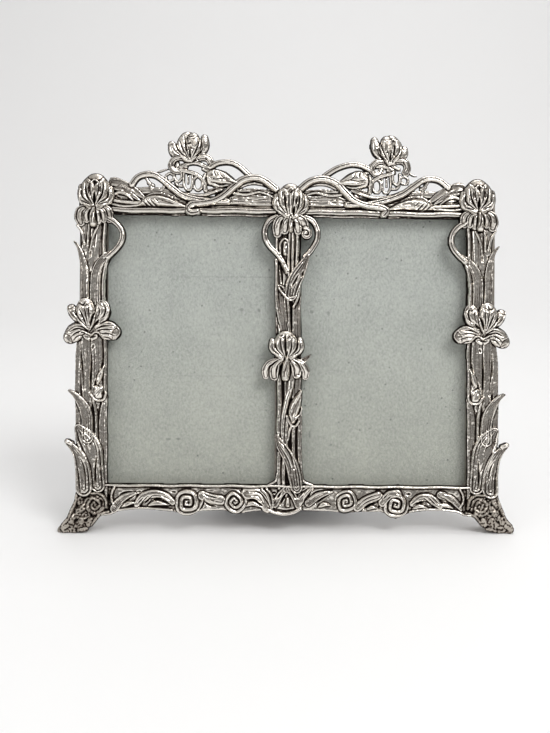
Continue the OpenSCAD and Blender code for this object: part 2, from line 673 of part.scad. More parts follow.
module back_plate(front, back) {
    box(-glass_w / 2, glass_w / 2, front, back, recess_z + recess_clear, recess_z + recess_clear + glass_h);
}

// Prongs of the hinge staples, or the holes that they leave
module board_prongs(r, front, back) {
    for (s = [-1, 1]) for (e = [-1, 1])
        translate([s * staple_x + e * staple_span / 2, back, hinge_z + staple_rise]) rotate([90, 0, 0])
            cylinder(r = r, h = back - front, $fn = bore_sides);
}

module backing_board() {
    color("darkgray") difference() {
        back_plate(board_y, velour_y);
        board_prongs(staple_r, board_y - overrun, velour_y + overrun);
    }
}

module backing_velour() {
    color(velour) difference() {
        back_plate(velour_y, back_y);
        board_prongs(staple_r, velour_y - overrun, back_y + overrun);
    }
}

// Turns what is drawn with the leg folded flat to the open leg
module opened() {
    translate([0, hinge_y, hinge_z]) rotate([leg_open, 0, 0]) translate([0, -hinge_y, -hinge_z]) children();
}

knuckle_w = hinge_w / knuckle_count;
// Where knuckle i starts, from the left end of the barrel
function knuckle_x(i) = -hinge_w / 2 + i * knuckle_w;

// Every second knuckle of the barrel, from the given one
module knuckles(from) {
    for (i = [from : 2 : knuckle_count - 1])
        translate([knuckle_x(i) + knuckle_gap / 2, hinge_y, hinge_z]) rotate([0, 90, 0])
            cylinder(r = knuckle_r, h = knuckle_w - knuckle_gap);
}

module knuckle_spaces(from) {
    for (i = [from : 2 : knuckle_count - 1])
        translate([knuckle_x(i) - knuckle_gap / 2, hinge_y, hinge_z]) rotate([0, 90, 0])
            cylinder(r = knuckle_r + knuckle_gap, h = knuckle_w + knuckle_gap);
}

module pin_bore(clear) {
    translate([-hinge_w / 2 - overrun, hinge_y, hinge_z]) rotate([0, 90, 0])
        cylinder(r = pin_r + clear, h = hinge_w + 2 * overrun);
}

module hinge_board_leaf() {
    color(steel) difference() {
        union() {
            box(-hinge_w / 2, hinge_w / 2, back_y, back_y + hinge_t, hinge_z, hinge_z + hinge_leaf_h);
            knuckles(0);
        }
        knuckle_spaces(1);
        pin_bore(0);
        board_prongs(staple_r, back_y - overrun, back_y + hinge_t + overrun);
    }
}

leg_leaf_y = hinge_y + knuckle_r - hinge_t;

// Leaf on the back of the leg; its tongues run past the pin and stop against the other leaf
module hinge_leg_leaf() {
    color(steel) opened() difference() {
        union() {
            box(-hinge_w / 2, hinge_w / 2, leg_leaf_y, leg_leaf_y + hinge_t, hinge_z - hinge_leaf_h, hinge_z);
            for (i = [1, 3])
                box(knuckle_x(i) + knuckle_gap, knuckle_x(i + 1) - knuckle_gap,
                    leg_leaf_y, leg_leaf_y + hinge_t, hinge_z - overrun, hinge_z + tongue_l);
            knuckles(1);
        }
        for (i = [0 : 2 : knuckle_count - 1])
            box(knuckle_x(i) - knuckle_gap / 2, knuckle_x(i + 1) + knuckle_gap / 2,
                hinge_y - knuckle_r - overrun, hinge_y + knuckle_r + overrun,
                hinge_z - knuckle_r - knuckle_gap, hinge_z + knuckle_r + overrun);
        pin_bore(run_clear);
        leg_prongs(staple_r, leg_leaf_y - overrun, leg_leaf_y + hinge_t + overrun);
    }
}

module hinge_pin() {
    color("gray") translate([-hinge_w / 2, hinge_y, hinge_z]) rotate([0, 90, 0])
        cylinder(r = pin_r, h = hinge_w);
}

module leg_prongs(r, front, back) {
    for (s = [-1, 1]) for (e = [-1, 1])
        translate([s * staple_x + e * staple_span / 2, back, hinge_z - staple_rise]) rotate([90, 0, 0])
            cylinder(r = r, h = back - front, $fn = bore_sides);
}

// Wire crown that joins the two prongs of each staple
module crowns(y, z) {
    for (s = [-1, 1])
        translate([s * staple_x - staple_span / 2 - staple_r, y + staple_r, z]) rotate([0, 90, 0])
            cylinder(r = staple_r, h = staple_span + 2 * staple_r, $fn = bore_sides);
}

module board_staples() {
    color(steel) {
        board_prongs(staple_r, board_y, back_y + hinge_t + staple_r);
        crowns(back_y + hinge_t, hinge_z + staple_rise);
    }
}

module leg_staples() {
    color(steel) opened() {
        leg_prongs(staple_r, leg_y, leg_leaf_y + hinge_t + staple_r);
        crowns(leg_leaf_y + hinge_t, hinge_z - staple_rise);
    }
}

leg_top_z = hinge_z - knuckle_r - seat_clear * 2;

// Leg outline, widening to the table, drawn flat against the back
module leg_outline(inset) {
    polygon([[-leg_top_w / 2 + inset, leg_top_z], [leg_top_w / 2 - inset, leg_top_z],
        [leg_foot_w / 2 - inset, hinge_z - leg_l], [-leg_foot_w / 2 + inset, hinge_z - leg_l]]);
}

module stood() {
    above_table() leaned() opened() children();
}

module leg_board() {
    color("tan") stood() difference() {
        slab(leg_y + leg_velour_t, leg_y + leg_velour_t + leg_board_t) leg_outline(leg_velour_t);
        leg_prongs(staple_r, leg_y - overrun, leg_leaf_y + overrun);
    }
}

module leg_velour() {
    color(velour) stood() difference() {
        slab(leg_y, leg_y + leg_t) leg_outline(0);
        slab(leg_y + leg_velour_t, leg_y + leg_velour_t + leg_board_t) leg_outline(leg_velour_t);
        leg_prongs(staple_r, leg_y - overrun, leg_leaf_y + overrun);
    }
}

// Stamped turn button, pointing along +X from its screw before it is turned
module turn_button(i) {
    p = button_places[i];
    reach = button_l - button_w;
    color(steel) translate([p[0], 0, p[1]]) rotate([0, -p[2], 0]) difference() {
        slab(button_y, button_y + button_t) union() {
            circle(button_w / 2);
            translate([0, -button_w / 2]) square([reach, button_w]);
            translate([reach, 0]) circle(button_w / 2);
        }
        translate([0, button_y + button_t + overrun, 0]) rotate([90, 0, 0])
            cylinder(r = screw_r + run_clear, h = button_t + 2 * overrun);
    }
}

module turn_button_screws() {
    head_y = button_y + button_t + seat_clear;
    color("gray") for (p = button_places)
        translate([p[0], 0, p[1]]) difference() {
            union() {
                translate([0, head_y + shank_out, 0]) rotate([90, 0, 0])
                    cylinder(r = screw_r, h = head_y + shank_out - rim_y + screw_depth);
                translate([0, head_y + screw_head_h, 0]) rotate([90, 0, 0])
                    cylinder(r = screw_head_r, h = screw_head_h);
            }
            box(-screw_head_r, screw_head_r, head_y + screw_head_h - slot_d, head_y + screw_head_h + overrun,
                -slot_w / 2, slot_w / 2);
        }
}

leaned() top_rail();
leaned() bottom_rail();
leaned() stile(-1);  // left_stile
leaned() stile(1);  // right_stile
leaned() mullion();
leaned() cresting(-1);  // left_cresting
leaned() cresting(1);  // right_cresting
leaned() finial(-1);  // left_finial
leaned() finial(1);  // right_finial
leaned() corner_blossom(-1);  // left_corner_blossom
leaned() corner_blossom(1);  // right_corner_blossom
leaned() crown_blossom();
leaned() stile_blossom(-1);  // left_stile_blossom
leaned() stile_blossom(1);  // right_stile_blossom
leaned() mullion_blossom();
leaned() stile_foliage(-1);  // left_stile_foliage
leaned() stile_foliage(1);  // right_stile_foliage
leaned() mullion_foliage();
leaned() bottom_foliage();  // bottom_rail_foliage
foot(-1);  // left_foot
foot(1);  // right_foot
knee_rose(-1);  // left_knee_rose
knee_rose(1);  // right_knee_rose
leaned() glass();
leaned() backing_board();
leaned() backing_velour();
leaned() hinge_board_leaf();
leaned() hinge_leg_leaf();
leaned() hinge_pin();
leaned() board_staples();
leaned() leg_staples();
leg_board();
leg_velour();
leaned() turn_button(0);  // turn_button_top_left
leaned() turn_button(1);  // turn_button_top_right
leaned() turn_button(2);  // turn_button_bottom_left
leaned() turn_button(3);  // turn_button_bottom_right
leaned() turn_button(4);  // turn_button_left
leaned() turn_button(5);  // turn_button_right
leaned() turn_button_screws();
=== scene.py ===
"""Looks of the double photo frame.

The cast front is a relief: a height above the flat casting, worked out on one square lattice
over the whole face. Each stem, leaf, petal and bud is a band along a curve, with a height that
depends on the share s across the band and the share t along it. Where bands meet, the higher
one shows. Places on the face are in grid units from the middle of the frame and from the table.
"""

import json
import math

import bpy
import numpy as np
from mathutils import Matrix, Vector


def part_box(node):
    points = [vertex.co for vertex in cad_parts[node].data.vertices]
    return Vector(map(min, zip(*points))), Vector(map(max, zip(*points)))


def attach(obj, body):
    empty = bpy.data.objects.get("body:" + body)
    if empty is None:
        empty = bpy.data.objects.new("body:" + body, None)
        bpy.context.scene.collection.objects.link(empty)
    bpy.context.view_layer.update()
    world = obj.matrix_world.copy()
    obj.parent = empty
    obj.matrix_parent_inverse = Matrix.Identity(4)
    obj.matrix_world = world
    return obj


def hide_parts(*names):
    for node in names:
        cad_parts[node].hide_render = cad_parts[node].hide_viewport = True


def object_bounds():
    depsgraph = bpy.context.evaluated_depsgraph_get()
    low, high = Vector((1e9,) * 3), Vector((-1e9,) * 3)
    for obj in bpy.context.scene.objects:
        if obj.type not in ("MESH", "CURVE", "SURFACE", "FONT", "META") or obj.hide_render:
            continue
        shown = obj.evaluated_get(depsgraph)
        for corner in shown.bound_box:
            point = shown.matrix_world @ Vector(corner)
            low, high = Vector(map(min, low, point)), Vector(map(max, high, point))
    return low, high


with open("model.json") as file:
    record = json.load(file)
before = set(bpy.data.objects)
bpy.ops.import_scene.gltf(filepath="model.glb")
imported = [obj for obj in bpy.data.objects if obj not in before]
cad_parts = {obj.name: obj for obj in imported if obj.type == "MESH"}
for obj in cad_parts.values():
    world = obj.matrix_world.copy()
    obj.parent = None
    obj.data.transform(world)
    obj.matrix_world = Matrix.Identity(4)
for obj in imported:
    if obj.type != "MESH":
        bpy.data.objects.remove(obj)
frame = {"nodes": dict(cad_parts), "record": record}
cad_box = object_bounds()

# Sizes in millimetres. The construction has the same lean, unit and front
MM = 0.001
LEAN = math.radians(12)                     # of the face, backwards
UNIT = 95.0 / 89.5                          # one grid unit: 89.5 of them reach from the middle to the side
FRONT_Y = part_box("left_foot")[0].y / MM     # of the flat face, where it meets the table
CELL = 0.25                                 # between places on the lattice
FACE = (-106.0, 106.0, -1.0, 184.0)         # what the lattice covers, across and up
FAR = 99.0                                  # the gap of a place that no band is near
EDGE_T = 0.35                               # least height of the metal at the outline of a relief
EDGE_SHARE, EDGE_CAP = 0.3, 2               # above that it keeps a share of the height inside, to a cap
EDGE_MOVE = 1.5 * CELL                      # the furthest that a place moves onto the outline
THINNEST = 0.2                              # the least that chasing leaves
BED_ROUND = 0.5                             # radius of the edge of a bed
SOFTEN = 0.2                                # radius that every relief is softened with
GRAIN, FOOT_GRAIN = 0.03, 0.22              # height of the cast skin's grain
LUMPS = 1.7                                 # lumpy grain for each part of fine grain

# Patina goes from 0, rubbed bright, to 1, black
BACK_PATINA = 0.4                           # of the flat back
WORN_PATINA = 0.3                           # the level that contrast leaves as it is
FLAT_PATINA, FLAT_HEIGHT = 0.22, 2.5        # of level metal at that height
PER_DIP, PER_HOLLOW, PER_HEIGHT = 1.9, 3, 0.07      # and for each millimetre lower, hollow, higher
AROUND = 0.45                               # radius of the metal around a place

COLS = int((FACE[1] - FACE[0]) / CELL) + 1
ROWS = int((FACE[3] - FACE[2]) / CELL) + 1
GRID_X = FACE[0] + CELL * np.arange(COLS)
GRID_Z = FACE[2] + CELL * np.arange(ROWS)

# The toes stand furthest to the front, and no relief rises past the front of the construction's box
FRONT_LIMIT = (GRID_Z * math.sin(LEAN) - (cad_box[0][1] / MM - FRONT_Y)) / math.cos(LEAN) - 0.02

# The casting was cut by hand and isn't quite square: each place on the lattice is read a little to one
# side, by slow waves and by a slight skew about MIDDLE. Upwards, the skew fades out from FEET to the table
WAVE, MIDDLE, FEET = 0.14, 89, 25
PLACE_X, PLACE_Z = np.meshgrid(GRID_X, GRID_Z)
WAVE_X = WAVE * np.sin(0.31 * PLACE_Z + 1.4 * np.sin(0.17 * PLACE_X))
WAVE_Z = WAVE * np.sin(0.33 * PLACE_X + 1.7 * np.sin(0.13 * PLACE_Z))
SKEW_X = 0.14 + 0.0077 * (PLACE_Z - MIDDLE) + 0.0026 * PLACE_X
SKEW_Z = (0.1 + 0.0093 * (PLACE_Z - MIDDLE) + 0.0048 * PLACE_X) * np.clip(PLACE_Z / FEET, 0, 1)
PLACE_X, PLACE_Z = PLACE_X + SKEW_X + WAVE_X, PLACE_Z + SKEW_Z + WAVE_Z


def stand(x, y, z):
    """Places drawn upright, put into the leaning frame: turned by the lean about X, moved to its foot."""
    c, s = math.cos(LEAN), math.sin(LEAN)
    return np.stack([x, FRONT_Y + y * c + z * s, z * c - y * s], -1) * MM


def blur(field, radius):
    """Gaussian mean of a field: two passes of a bell of that radius, along rows and along columns."""
    reach = max(1, int(round(3 * radius / CELL)))
    bell = np.exp(-0.5 * (np.arange(-reach, reach + 1) * CELL / radius) ** 2)
    bell /= bell.sum()
    for axis in (0, 1):
        padded = np.pad(field, [(reach, reach) if a == axis else (0, 0) for a in (0, 1)], mode="edge")
        size = field.shape[axis]
        field = sum(b * np.take(padded, np.arange(i, i + size), axis) for i, b in enumerate(bell))
    return field


def curve(points, steps=6):
    """Catmull-Rom curve through points in grid units (x, z, x, z ...), given in millimetres."""
    p = np.reshape(points, (-1, 2)) * UNIT
    p = np.vstack([2 * p[0] - p[1], p, 2 * p[-1] - p[-2]])
    a, b, c, d = (p[i:len(p) - 3 + i, None] for i in range(4))
    t = (np.arange(steps) / steps)[None, :, None]
    spans = b + t / 2 * ((c - a) + t * ((2 * a - 5 * b + 4 * c - d) + t * (3 * b - a - 3 * c + d)))
    return np.vstack([spans.reshape(-1, 2), p[-2]])


def spiral(x, z, radius, turns, start):
    """Archimedes' spiral in grid units: as the angle turns clockwise from the start in degrees, the reach
    falls evenly from the radius to a sixth of it."""
    t = np.linspace(0, 1, 12)
    angle = math.radians(start) - 2 * math.pi * turns * t
    reach = radius * (1 - 0.84 * t)
    return np.stack([x + reach * np.cos(angle), z + reach * np.sin(angle)], -1)


def dome(s, power):
    """Round top that falls to 0 at both edges: the square root of 1 less a power of the distance from 0."""
    return np.clip(1 - np.abs(s) ** power, 0, 1) ** 0.5


def peak(s, at, width):
    """Bell curve of the distance from a share, over its width."""
    return np.exp(-((s - at) / width) ** 2)


# Height of a band, as a share, for the share s across it (-1 to 1) and t along it (0 to 1)

def stem(s, t):
    """Two round ribs side by side, the upper one wider, with a groove between them."""
    return dome(s, 2) - 0.34 * peak(s, 0.2, 0.15)


def cord(s, t):
    """Full and round."""
    return dome(s, 2)


def panel(s, t):
    """Broad flat strip with round edges, hardly hollow, with a faint vein on each side of its middle."""
    body = 0.86 * dome(s, 5) - 0.12 * (1 - s * s)
    return body - 0.1 * peak(np.abs(s), 0.36, 0.1) + 0.04 * np.cos(19 * s + 5 * t)


def leaf(s, t):
    """Hollow blade: a rolled rim at one edge, a thin one at the other, three faint veins between them."""
    body = (0.5 + 0.12 * s * s) * np.clip(1 - s ** 6, 0, 1) ** 0.5
    rims = 0.46 * peak(s, -0.84, 0.12) + 0.42 * peak(s, 0.86, 0.1)
    veins = 0.1 * peak(s, -0.42, 0.1) + 0.12 * peak(s, 0, 0.1) + 0.08 * peak(s, 0.42, 0.1)
    return (body + rims + veins + 0.04 * np.cos(17 * s + 6 * t)) * (1 - 0.15 * t)


def petal(s, t):
    """Cupped petal: a dome that swells to two thirds of its length, with dark ribs that fan out of its
    foot."""
    end = 0.3 * np.clip((t - 0.84) / 0.16, 0, 1) ** 2
    swell = 0.4 + 0.6 * np.sin(np.clip(t / 0.68, 0, 1) * math.pi / 2) - end
    ribs = 0.16 * np.cos(3 * math.pi * s) * np.clip(0.8 - t, 0, 1)
    return swell * (0.92 * dome(s, 2.4) + ribs)


def fall(s, t):
    """Drooping petal: it arches out of the waist and rolls over at its end. A groove runs inside its
    rim."""
    arch = 0.55 + 0.45 * np.sin(np.clip(t, 0, 1) ** 0.8 * math.pi) - 0.1 * t
    rim = 0.22 * peak(np.abs(s), 0.78, 0.14) - 0.2 * peak(np.abs(s), 0.5, 0.13)
    return arch * (0.9 * dome(s, 2.8) + rim)


def bud(s, t):
    """Smooth spindle, with two faint ribs that wind round it."""
    return dome(s, 2) * (0.92 + 0.08 * np.cos(math.pi * (2 * s + 2 * t)))


def chased(s, t):
    """A line chased into the metal, or raised on it: highest in the middle, and level at both edges."""
    return (1 - s * s) ** 2


def grooves(half, depth, *paths):
    """Bands that cut lines into the metal of the rows before them."""
    return [(chased, path, half, 0, -depth, LINE) for path in paths]


def ridges(half, height, *paths):
    """Bands that raise lines on the metal of the rows before them."""
    return [(chased, path, half, 0, height, LINE) for path in paths]


# Swell of a band: its width, as a share of the full one, at even steps along it
PLAIN = (1, 1)
TAPER = (1, 1, 0.85, 0.35)
BLADE = (0.7, 0.95, 1, 0.85, 0.12)
BUD = (0.25, 0.85, 1, 0.8, 0.45, 0.1)
FALL = (0.35, 0.7, 1, 1.05, 0.85)
BLOOM = (0.25, 0.7, 1, 1, 0.75)
LONG = (1, 1, 0.92, 0.72, 0.25)
LEAN_LEAF = (0.62, 0.68, 0.85, 1, 0.92, 0.4)
TIP = (0.6, 0.9, 0.8, 0.5, 0.15)
LINE = (0.2, 1, 1, 0.2)


class Relief:
    """One cast piece: the gap, how far each lattice place is outside its outline, and the rise, how high
    the metal stands there."""

    def __init__(self, grain):
        self.grain = grain
        self.gap = np.full((ROWS, COLS), FAR)
        self.rise = np.zeros((ROWS, COLS))

    def near(self, points, reach):
        """The part of the lattice within reach of the points, and its places."""
        low, high = points.min(0) - reach, points.max(0) + reach
        c0, c1 = np.searchsorted(GRID_X, (low[0], high[0]))
        r0, r1 = np.searchsorted(GRID_Z, (low[1], high[1]))
        patch = (slice(r0, r1), slice(c0, c1))
        return patch, PLACE_X[patch], PLACE_Z[patch]

    def put(self, patch, gap, rise):
        """Metal on a patch: the smaller gap counts, and inside the outline the greater height."""
        self.gap[patch] = np.minimum(self.gap[patch], gap)
        self.rise[patch] = np.where(gap < 0, np.maximum(self.rise[patch], rise), self.rise[patch])

    def band(self, form, points, half, lift, height, swell=PLAIN):
        """A band along a curve. Each place takes the nearest point of the curve: t is the share along
        it, s is the distance over the half width there, and gap is the distance less that width."""
        path = curve(points)
        a, d = path[:-1], np.diff(path, axis=0)
        length = np.linalg.norm(d, axis=1)
        start = np.concatenate([[0], np.cumsum(length)[:-1]])
        half = half * UNIT
        patch, x, z = self.near(path, half * max(swell) + 3 * CELL)
        x, z = x[..., None] - a[:, 0], z[..., None] - a[:, 1]
        w = np.clip((x * d[:, 0] + z * d[:, 1]) / length ** 2, 0, 1)
        off_x, off_z = x - w * d[:, 0], z - w * d[:, 1]
        t = (start + w * length) / length.sum()
        width = half * np.interp(t, np.linspace(0, 1, len(swell)), swell)
        distance = np.hypot(off_x, off_z)
        nearest = (distance - width).argmin(-1)[..., None]
        pick = lambda field: np.take_along_axis(field, nearest, -1)[..., 0]
        side = np.sign(pick(d[:, 0] * off_z - d[:, 1] * off_x) + 1e-9)
        t, width, distance = pick(t), pick(width), pick(distance)
        s = side * np.clip(distance / width, 0, 1)
        if form is chased:
            self.rise[patch] = np.maximum(self.rise[patch] + (lift + height) * form(s, t), THINNEST)
        else:
            self.put(patch, distance - width, lift + height * form(s, t))

    def plate(self, outline, top):
        """A flat plate inside a closed outline in grid units, its edge rounded as a quarter circle."""
        p = np.reshape(outline, (-1, 2)) * UNIT
        patch, x, z = self.near(p, 3 * CELL)
        a, b = p, np.roll(p, -1, axis=0)
        d = b - a
        dx, dz = x[..., None] - a[:, 0], z[..., None] - a[:, 1]
        w = np.clip((dx * d[:, 0] + dz * d[:, 1]) / (d ** 2).sum(1), 0, 1)
        distance = np.hypot(dx - w * d[:, 0], dz - w * d[:, 1]).min(-1)
        across = (a[:, 1] > z[..., None]) != (b[:, 1] > z[..., None])
        with np.errstate(divide="ignore", invalid="ignore"):
            hit = dx < d[:, 0] * dz / d[:, 1]
        inside = (across & hit).sum(-1) % 2 == 1
        gap = np.where(inside, -distance, distance)
        depth = np.clip(-gap / BED_ROUND, 0, 1)
        self.put(patch, gap, top - BED_ROUND * (1 - np.sqrt(1 - (1 - depth) ** 2)))

    def rose(self, x, z, radius, lift, height, turn):
        """A rolled rose: a dome over which one ridge winds as a spiral. The ridge is a cosine of 2.7 turns
        over the share of the radius, less the angle."""
        centre = np.array([[x, z]]) * UNIT
        radius = radius * UNIT
        patch, gx, gz = self.near(centre, radius + 3 * CELL)
        gx, gz = gx - centre[0, 0], gz - centre[0, 1]
        angle = np.arctan2(gz, gx)
        reach = np.hypot(gx, gz)
        edge = radius * (1 + 0.02 * np.cos(3 * angle + turn))
        share = np.clip(reach / edge + 0.03 * np.sin(4 * angle + 9 * turn), 0, 1)
        winding = 2.7 * share ** 0.85 - angle / (2 * math.pi) + turn
        ridge = (0.5 + 0.5 * np.cos(2 * math.pi * winding)) ** 0.7
        rise = height * dome(share, 4) * (0.45 + 0.55 * ridge) * (1 - 0.25 * share)
        self.put(patch, reach - edge, lift + rise)


def mirror(points):
    """The same points on the other side of the middle."""
    return np.reshape(points, (-1, 2)) * (-1, 1)


def flip(table):
    """The same bands on the other side of the middle."""
    return [(form, mirror(points), *rest) for form, points, *rest in table]


def draw(table, bed=None, top=0, grain=GRAIN):
    """The relief of a table of bands, over a bed of that height where it has one."""
    relief = Relief(grain)
    if bed is not None:
        relief.plate(bed, top)
    for band in table:
        relief.band(*band)
    return relief


# Rows of the tables: form, points (x, z, x, z ...) and half width in grid units, lift and height in
# millimetres, swell. Grooves and ridges: half width, height, points

CREST_TRIM = [
    (panel, [-76, 142.4, -60, 142.2, -40, 142, -20, 142, -4, 142], 3, 0.5, 1.1),
    (panel, [-29, 144.4, -20, 145.6, -12, 145.6, -4, 145], 2.8, 0.3, 1),
    (panel, [-77, 147, -71, 147, -65.4, 145, -60, 142], 3.6, 0.3, 1),
    (stem, [-76, 138.7, -60, 138.5, -40, 138.8, -22, 139, -4, 138.8], 1.25, 0.8, 1.8),
    (leaf, [-75.4, 150.6, -71.4, 150.4, -67, 148.2, -63.4, 145.2, -60.4, 143.2], 1.5, 0.9, 2, LONG),
    (leaf, [-75, 148.4, -70.6, 147.6, -66.6, 145, -63.4, 142.6], 1, 0.9, 1.8, LONG),
    (cord, [-75.4, 144.8, -72.6, 146.2, -69.6, 145.6, -66.4, 143], 0.75, 0.8, 1.6, TAPER),
    *grooves(0.6, 1, [-74, 144.6, -71.4, 143.8]),
    (cord, [-76, 152.2, -73.4, 152.3, -70, 151.2], 0.6, 0.8, 1.2, TIP),
    (cord, [-76, 142.8, -70, 142.2, -64, 141.7, -58, 141.4], 0.8, 0.8, 1.7),
    (cord, [-76, 141.2, -70, 140.4, -62, 140.9], 0.6, 0.8, 1.4),
    (panel, [-64, 147, -59, 147.4, -54, 147.2, -49.6, 145.6], 1.5, 0.5, 1.4),
    (bud, [-63.4, 140.9, -59.4, 142.6, -54.6, 142.9, -49, 141.9, -43, 140], 2.7, 0.8, 2.5, BUD),
    (leaf, [-62, 142.8, -58.4, 145, -54, 145.4, -49, 144], 1.1, 0.8, 1.9, BLADE),
    *grooves(0.4, 1, [-62.4, 142.4, -60, 140.2], [-60.8, 143, -58, 140], [-59.2, 143.4, -56.2, 140.2]),
    *grooves(0.35, 0.6, [-57, 144, -54.8, 141.6]),
    (cord, [-61, 153.2, -59.4, 150.6, -58.4, 148], 0.8, 0.5, 1.5),
    (bud, [-59.6, 150.4, -57.8, 149.6], 0.9, 0.5, 1.5),
    (cord, [-53.8, 151.4, -53, 149.6, -54.2, 147.6], 0.75, 0.5, 1.4),
    (cord, [-55.6, 155.2, -52.6, 156.4, -50, 157], 0.55, 0.5, 1.1, TIP),
    (cord, [-50.6, 155, -49.1, 153.9, -49.2, 152.3, -50.6, 151.5, -52, 152.3, -52.1, 153.9, -50.6, 155],
        0.6, 0.6, 1.6),
    (cord, [-48.7, 155.8, -48.6, 152.8, -47.2, 151.1, -45.8, 152.6, -45.7, 155.2], 0.65, 0.6, 1.6),
    (cord, [-48.4, 151, -47.4, 149.6, -45.4, 149.2], 0.7, 0.5, 1.4),
    (cord, [-44.6, 154.8, -44.7, 150.4, -43.7, 148, -42, 147.6, -41.1, 149.6, -41.1, 153.8],
        0.65, 0.6, 1.6),
    (bud, [-42.9, 153.6, -42.9, 150.6], 0.6, 0.4, 1.2),
    (cord, [-38.8, 153.8, -37, 152.2, -36.9, 149.2, -38.6, 147.6, -40.3, 149.2, -40.3, 152.2, -38.8, 153.8],
        0.7, 0.6, 1.7),
    (cord, [-50, 148.2, -45.6, 146.4, -41, 145.5, -36, 145.8, -31, 147.2], 0.85, 0.6, 1.6),
    (cord, [-45.6, 156, -42, 155.2, -38.8, 154.1, -36.2, 151.8, -35.4, 147.8], 1.05, 0.8, 1.8),
    (cord, [-45.6, 157.4, -42.6, 159, -38.6, 159.2, -34.4, 157.6], 1.1, 0.7, 1.7),
    (bud, [-46.2, 156.4, -43.6, 157.6], 1.1, 0.7, 1.6),
    (bud, [-33.4, 156, -35.8, 157], 1.2, 0.7, 1.6),
    (bud, [-34.2, 152.7, -31, 153.1, -27.2, 152.3, -21.4, 150.8], 4.1, 1, 3, (0.7, 1, 0.88, 0.55, 0.15)),
    (leaf, [-34.6, 147.4, -30.4, 148, -26, 149.4], 1.1, 0.6, 1.8, BLADE),
    *grooves(0.5, 1.3, [-34.6, 156, -35, 152, -33.6, 148.6]),
    *grooves(0.5, 1, [-33, 151.2, -29, 150, -24.4, 150.2]),
    *grooves(0.35, 0.5, [-33.6, 153, -30.6, 152.2, -27, 152.4]),
    *grooves(0.4, 0.7, [-31.4, 156.2, -30.6, 153.6]),
    *grooves(0.35, 0.5, [-29.4, 156, -27.8, 153.2, -24.6, 152.2]),
    (leaf, [-27, 142.4, -20, 143, -13, 142.6, -5, 142.4], 1.05, 0.8, 1.7),
    (leaf, [-26, 143.8, -19, 145.4, -12, 144.8, -5, 145.4], 1.2, 0.7, 1.4, BUD),
    (cord, [-23.6, 146.6, -18, 146.2, -12, 147.2, -7, 145.4, -5, 144], 0.65, 0.7, 1.4, TAPER),
    (cord, [-21.6, 148.8, -16.5, 150.9, -11, 150.4, -6, 148], 0.65, 0.5, 1.3),
    (leaf, [-22.4, 147.6, -17, 148.3, -12, 147.6, -6, 147.4], 0.95, 0.6, 1.4, FALL),
    *grooves(0.35, 0.7, [-20, 144.2, -14, 143.8, -9, 144.2]),
    *grooves(0.3, 0.5, [-24, 143, -17, 143.4]),
    *grooves(0.45, 1, [-36, 141, -26, 141.3, -16, 141.1, -7, 140.8]),
]

LEFT_CREST = CREST_TRIM + [
    (stem, [-66.8, 149.6, -64.2, 152.6, -60.4, 154, -56.4, 153.6, -52.8, 151.2, -49, 147.9, -44.8, 145,
        -40, 143.6, -34, 143.2, -26, 142.8], 1.5, 1, 2.2),
    (stem, [-33, 157.8, -29.6, 159.6, -25, 159.8, -21, 158.3, -18, 156, -15.4, 153.6], 1.35, 0.9, 2.2),
    (stem, [-38.8, 138.2, -41.4, 137.8, -42.7, 139.2, -41, 141.3, -36, 142.2, -31, 143.4, -27, 145.8,
        -23.2, 149.2, -19.4, 152.2, -15, 153.4, -10.6, 152.4, -5, 148.4], 1.6, 1.6, 2.3),
    *grooves(0.45, 1.2, [-43.6, 140.4, -43.7, 138.6]),
    *grooves(0.4, 1, [-40.6, 139.6, -38.6, 139.4]),
]

RIGHT_CREST = flip(CREST_TRIM) + [
    (stem, [26, 142.2, 33, 142.4, 39, 143.4, 45, 145, 50, 147.4, 54.6, 150.8, 59.4, 153.7, 65, 153.4,
        69.4, 150.6], 1.5, 1, 2.2),
    (stem, [15, 153.4, 18, 155.8, 22, 158.2, 27, 159.6, 31.6, 159.2, 35.6, 157.6], 1.35, 0.9, 2.2),
    (stem, [5, 148.4, 10, 152, 16, 153.2, 21, 151.4, 25, 147.4, 29, 143.8, 34, 142, 39.5, 141.4, 42.6, 140,
        41.6, 138.2], 1.6, 1.6, 2.3),
]

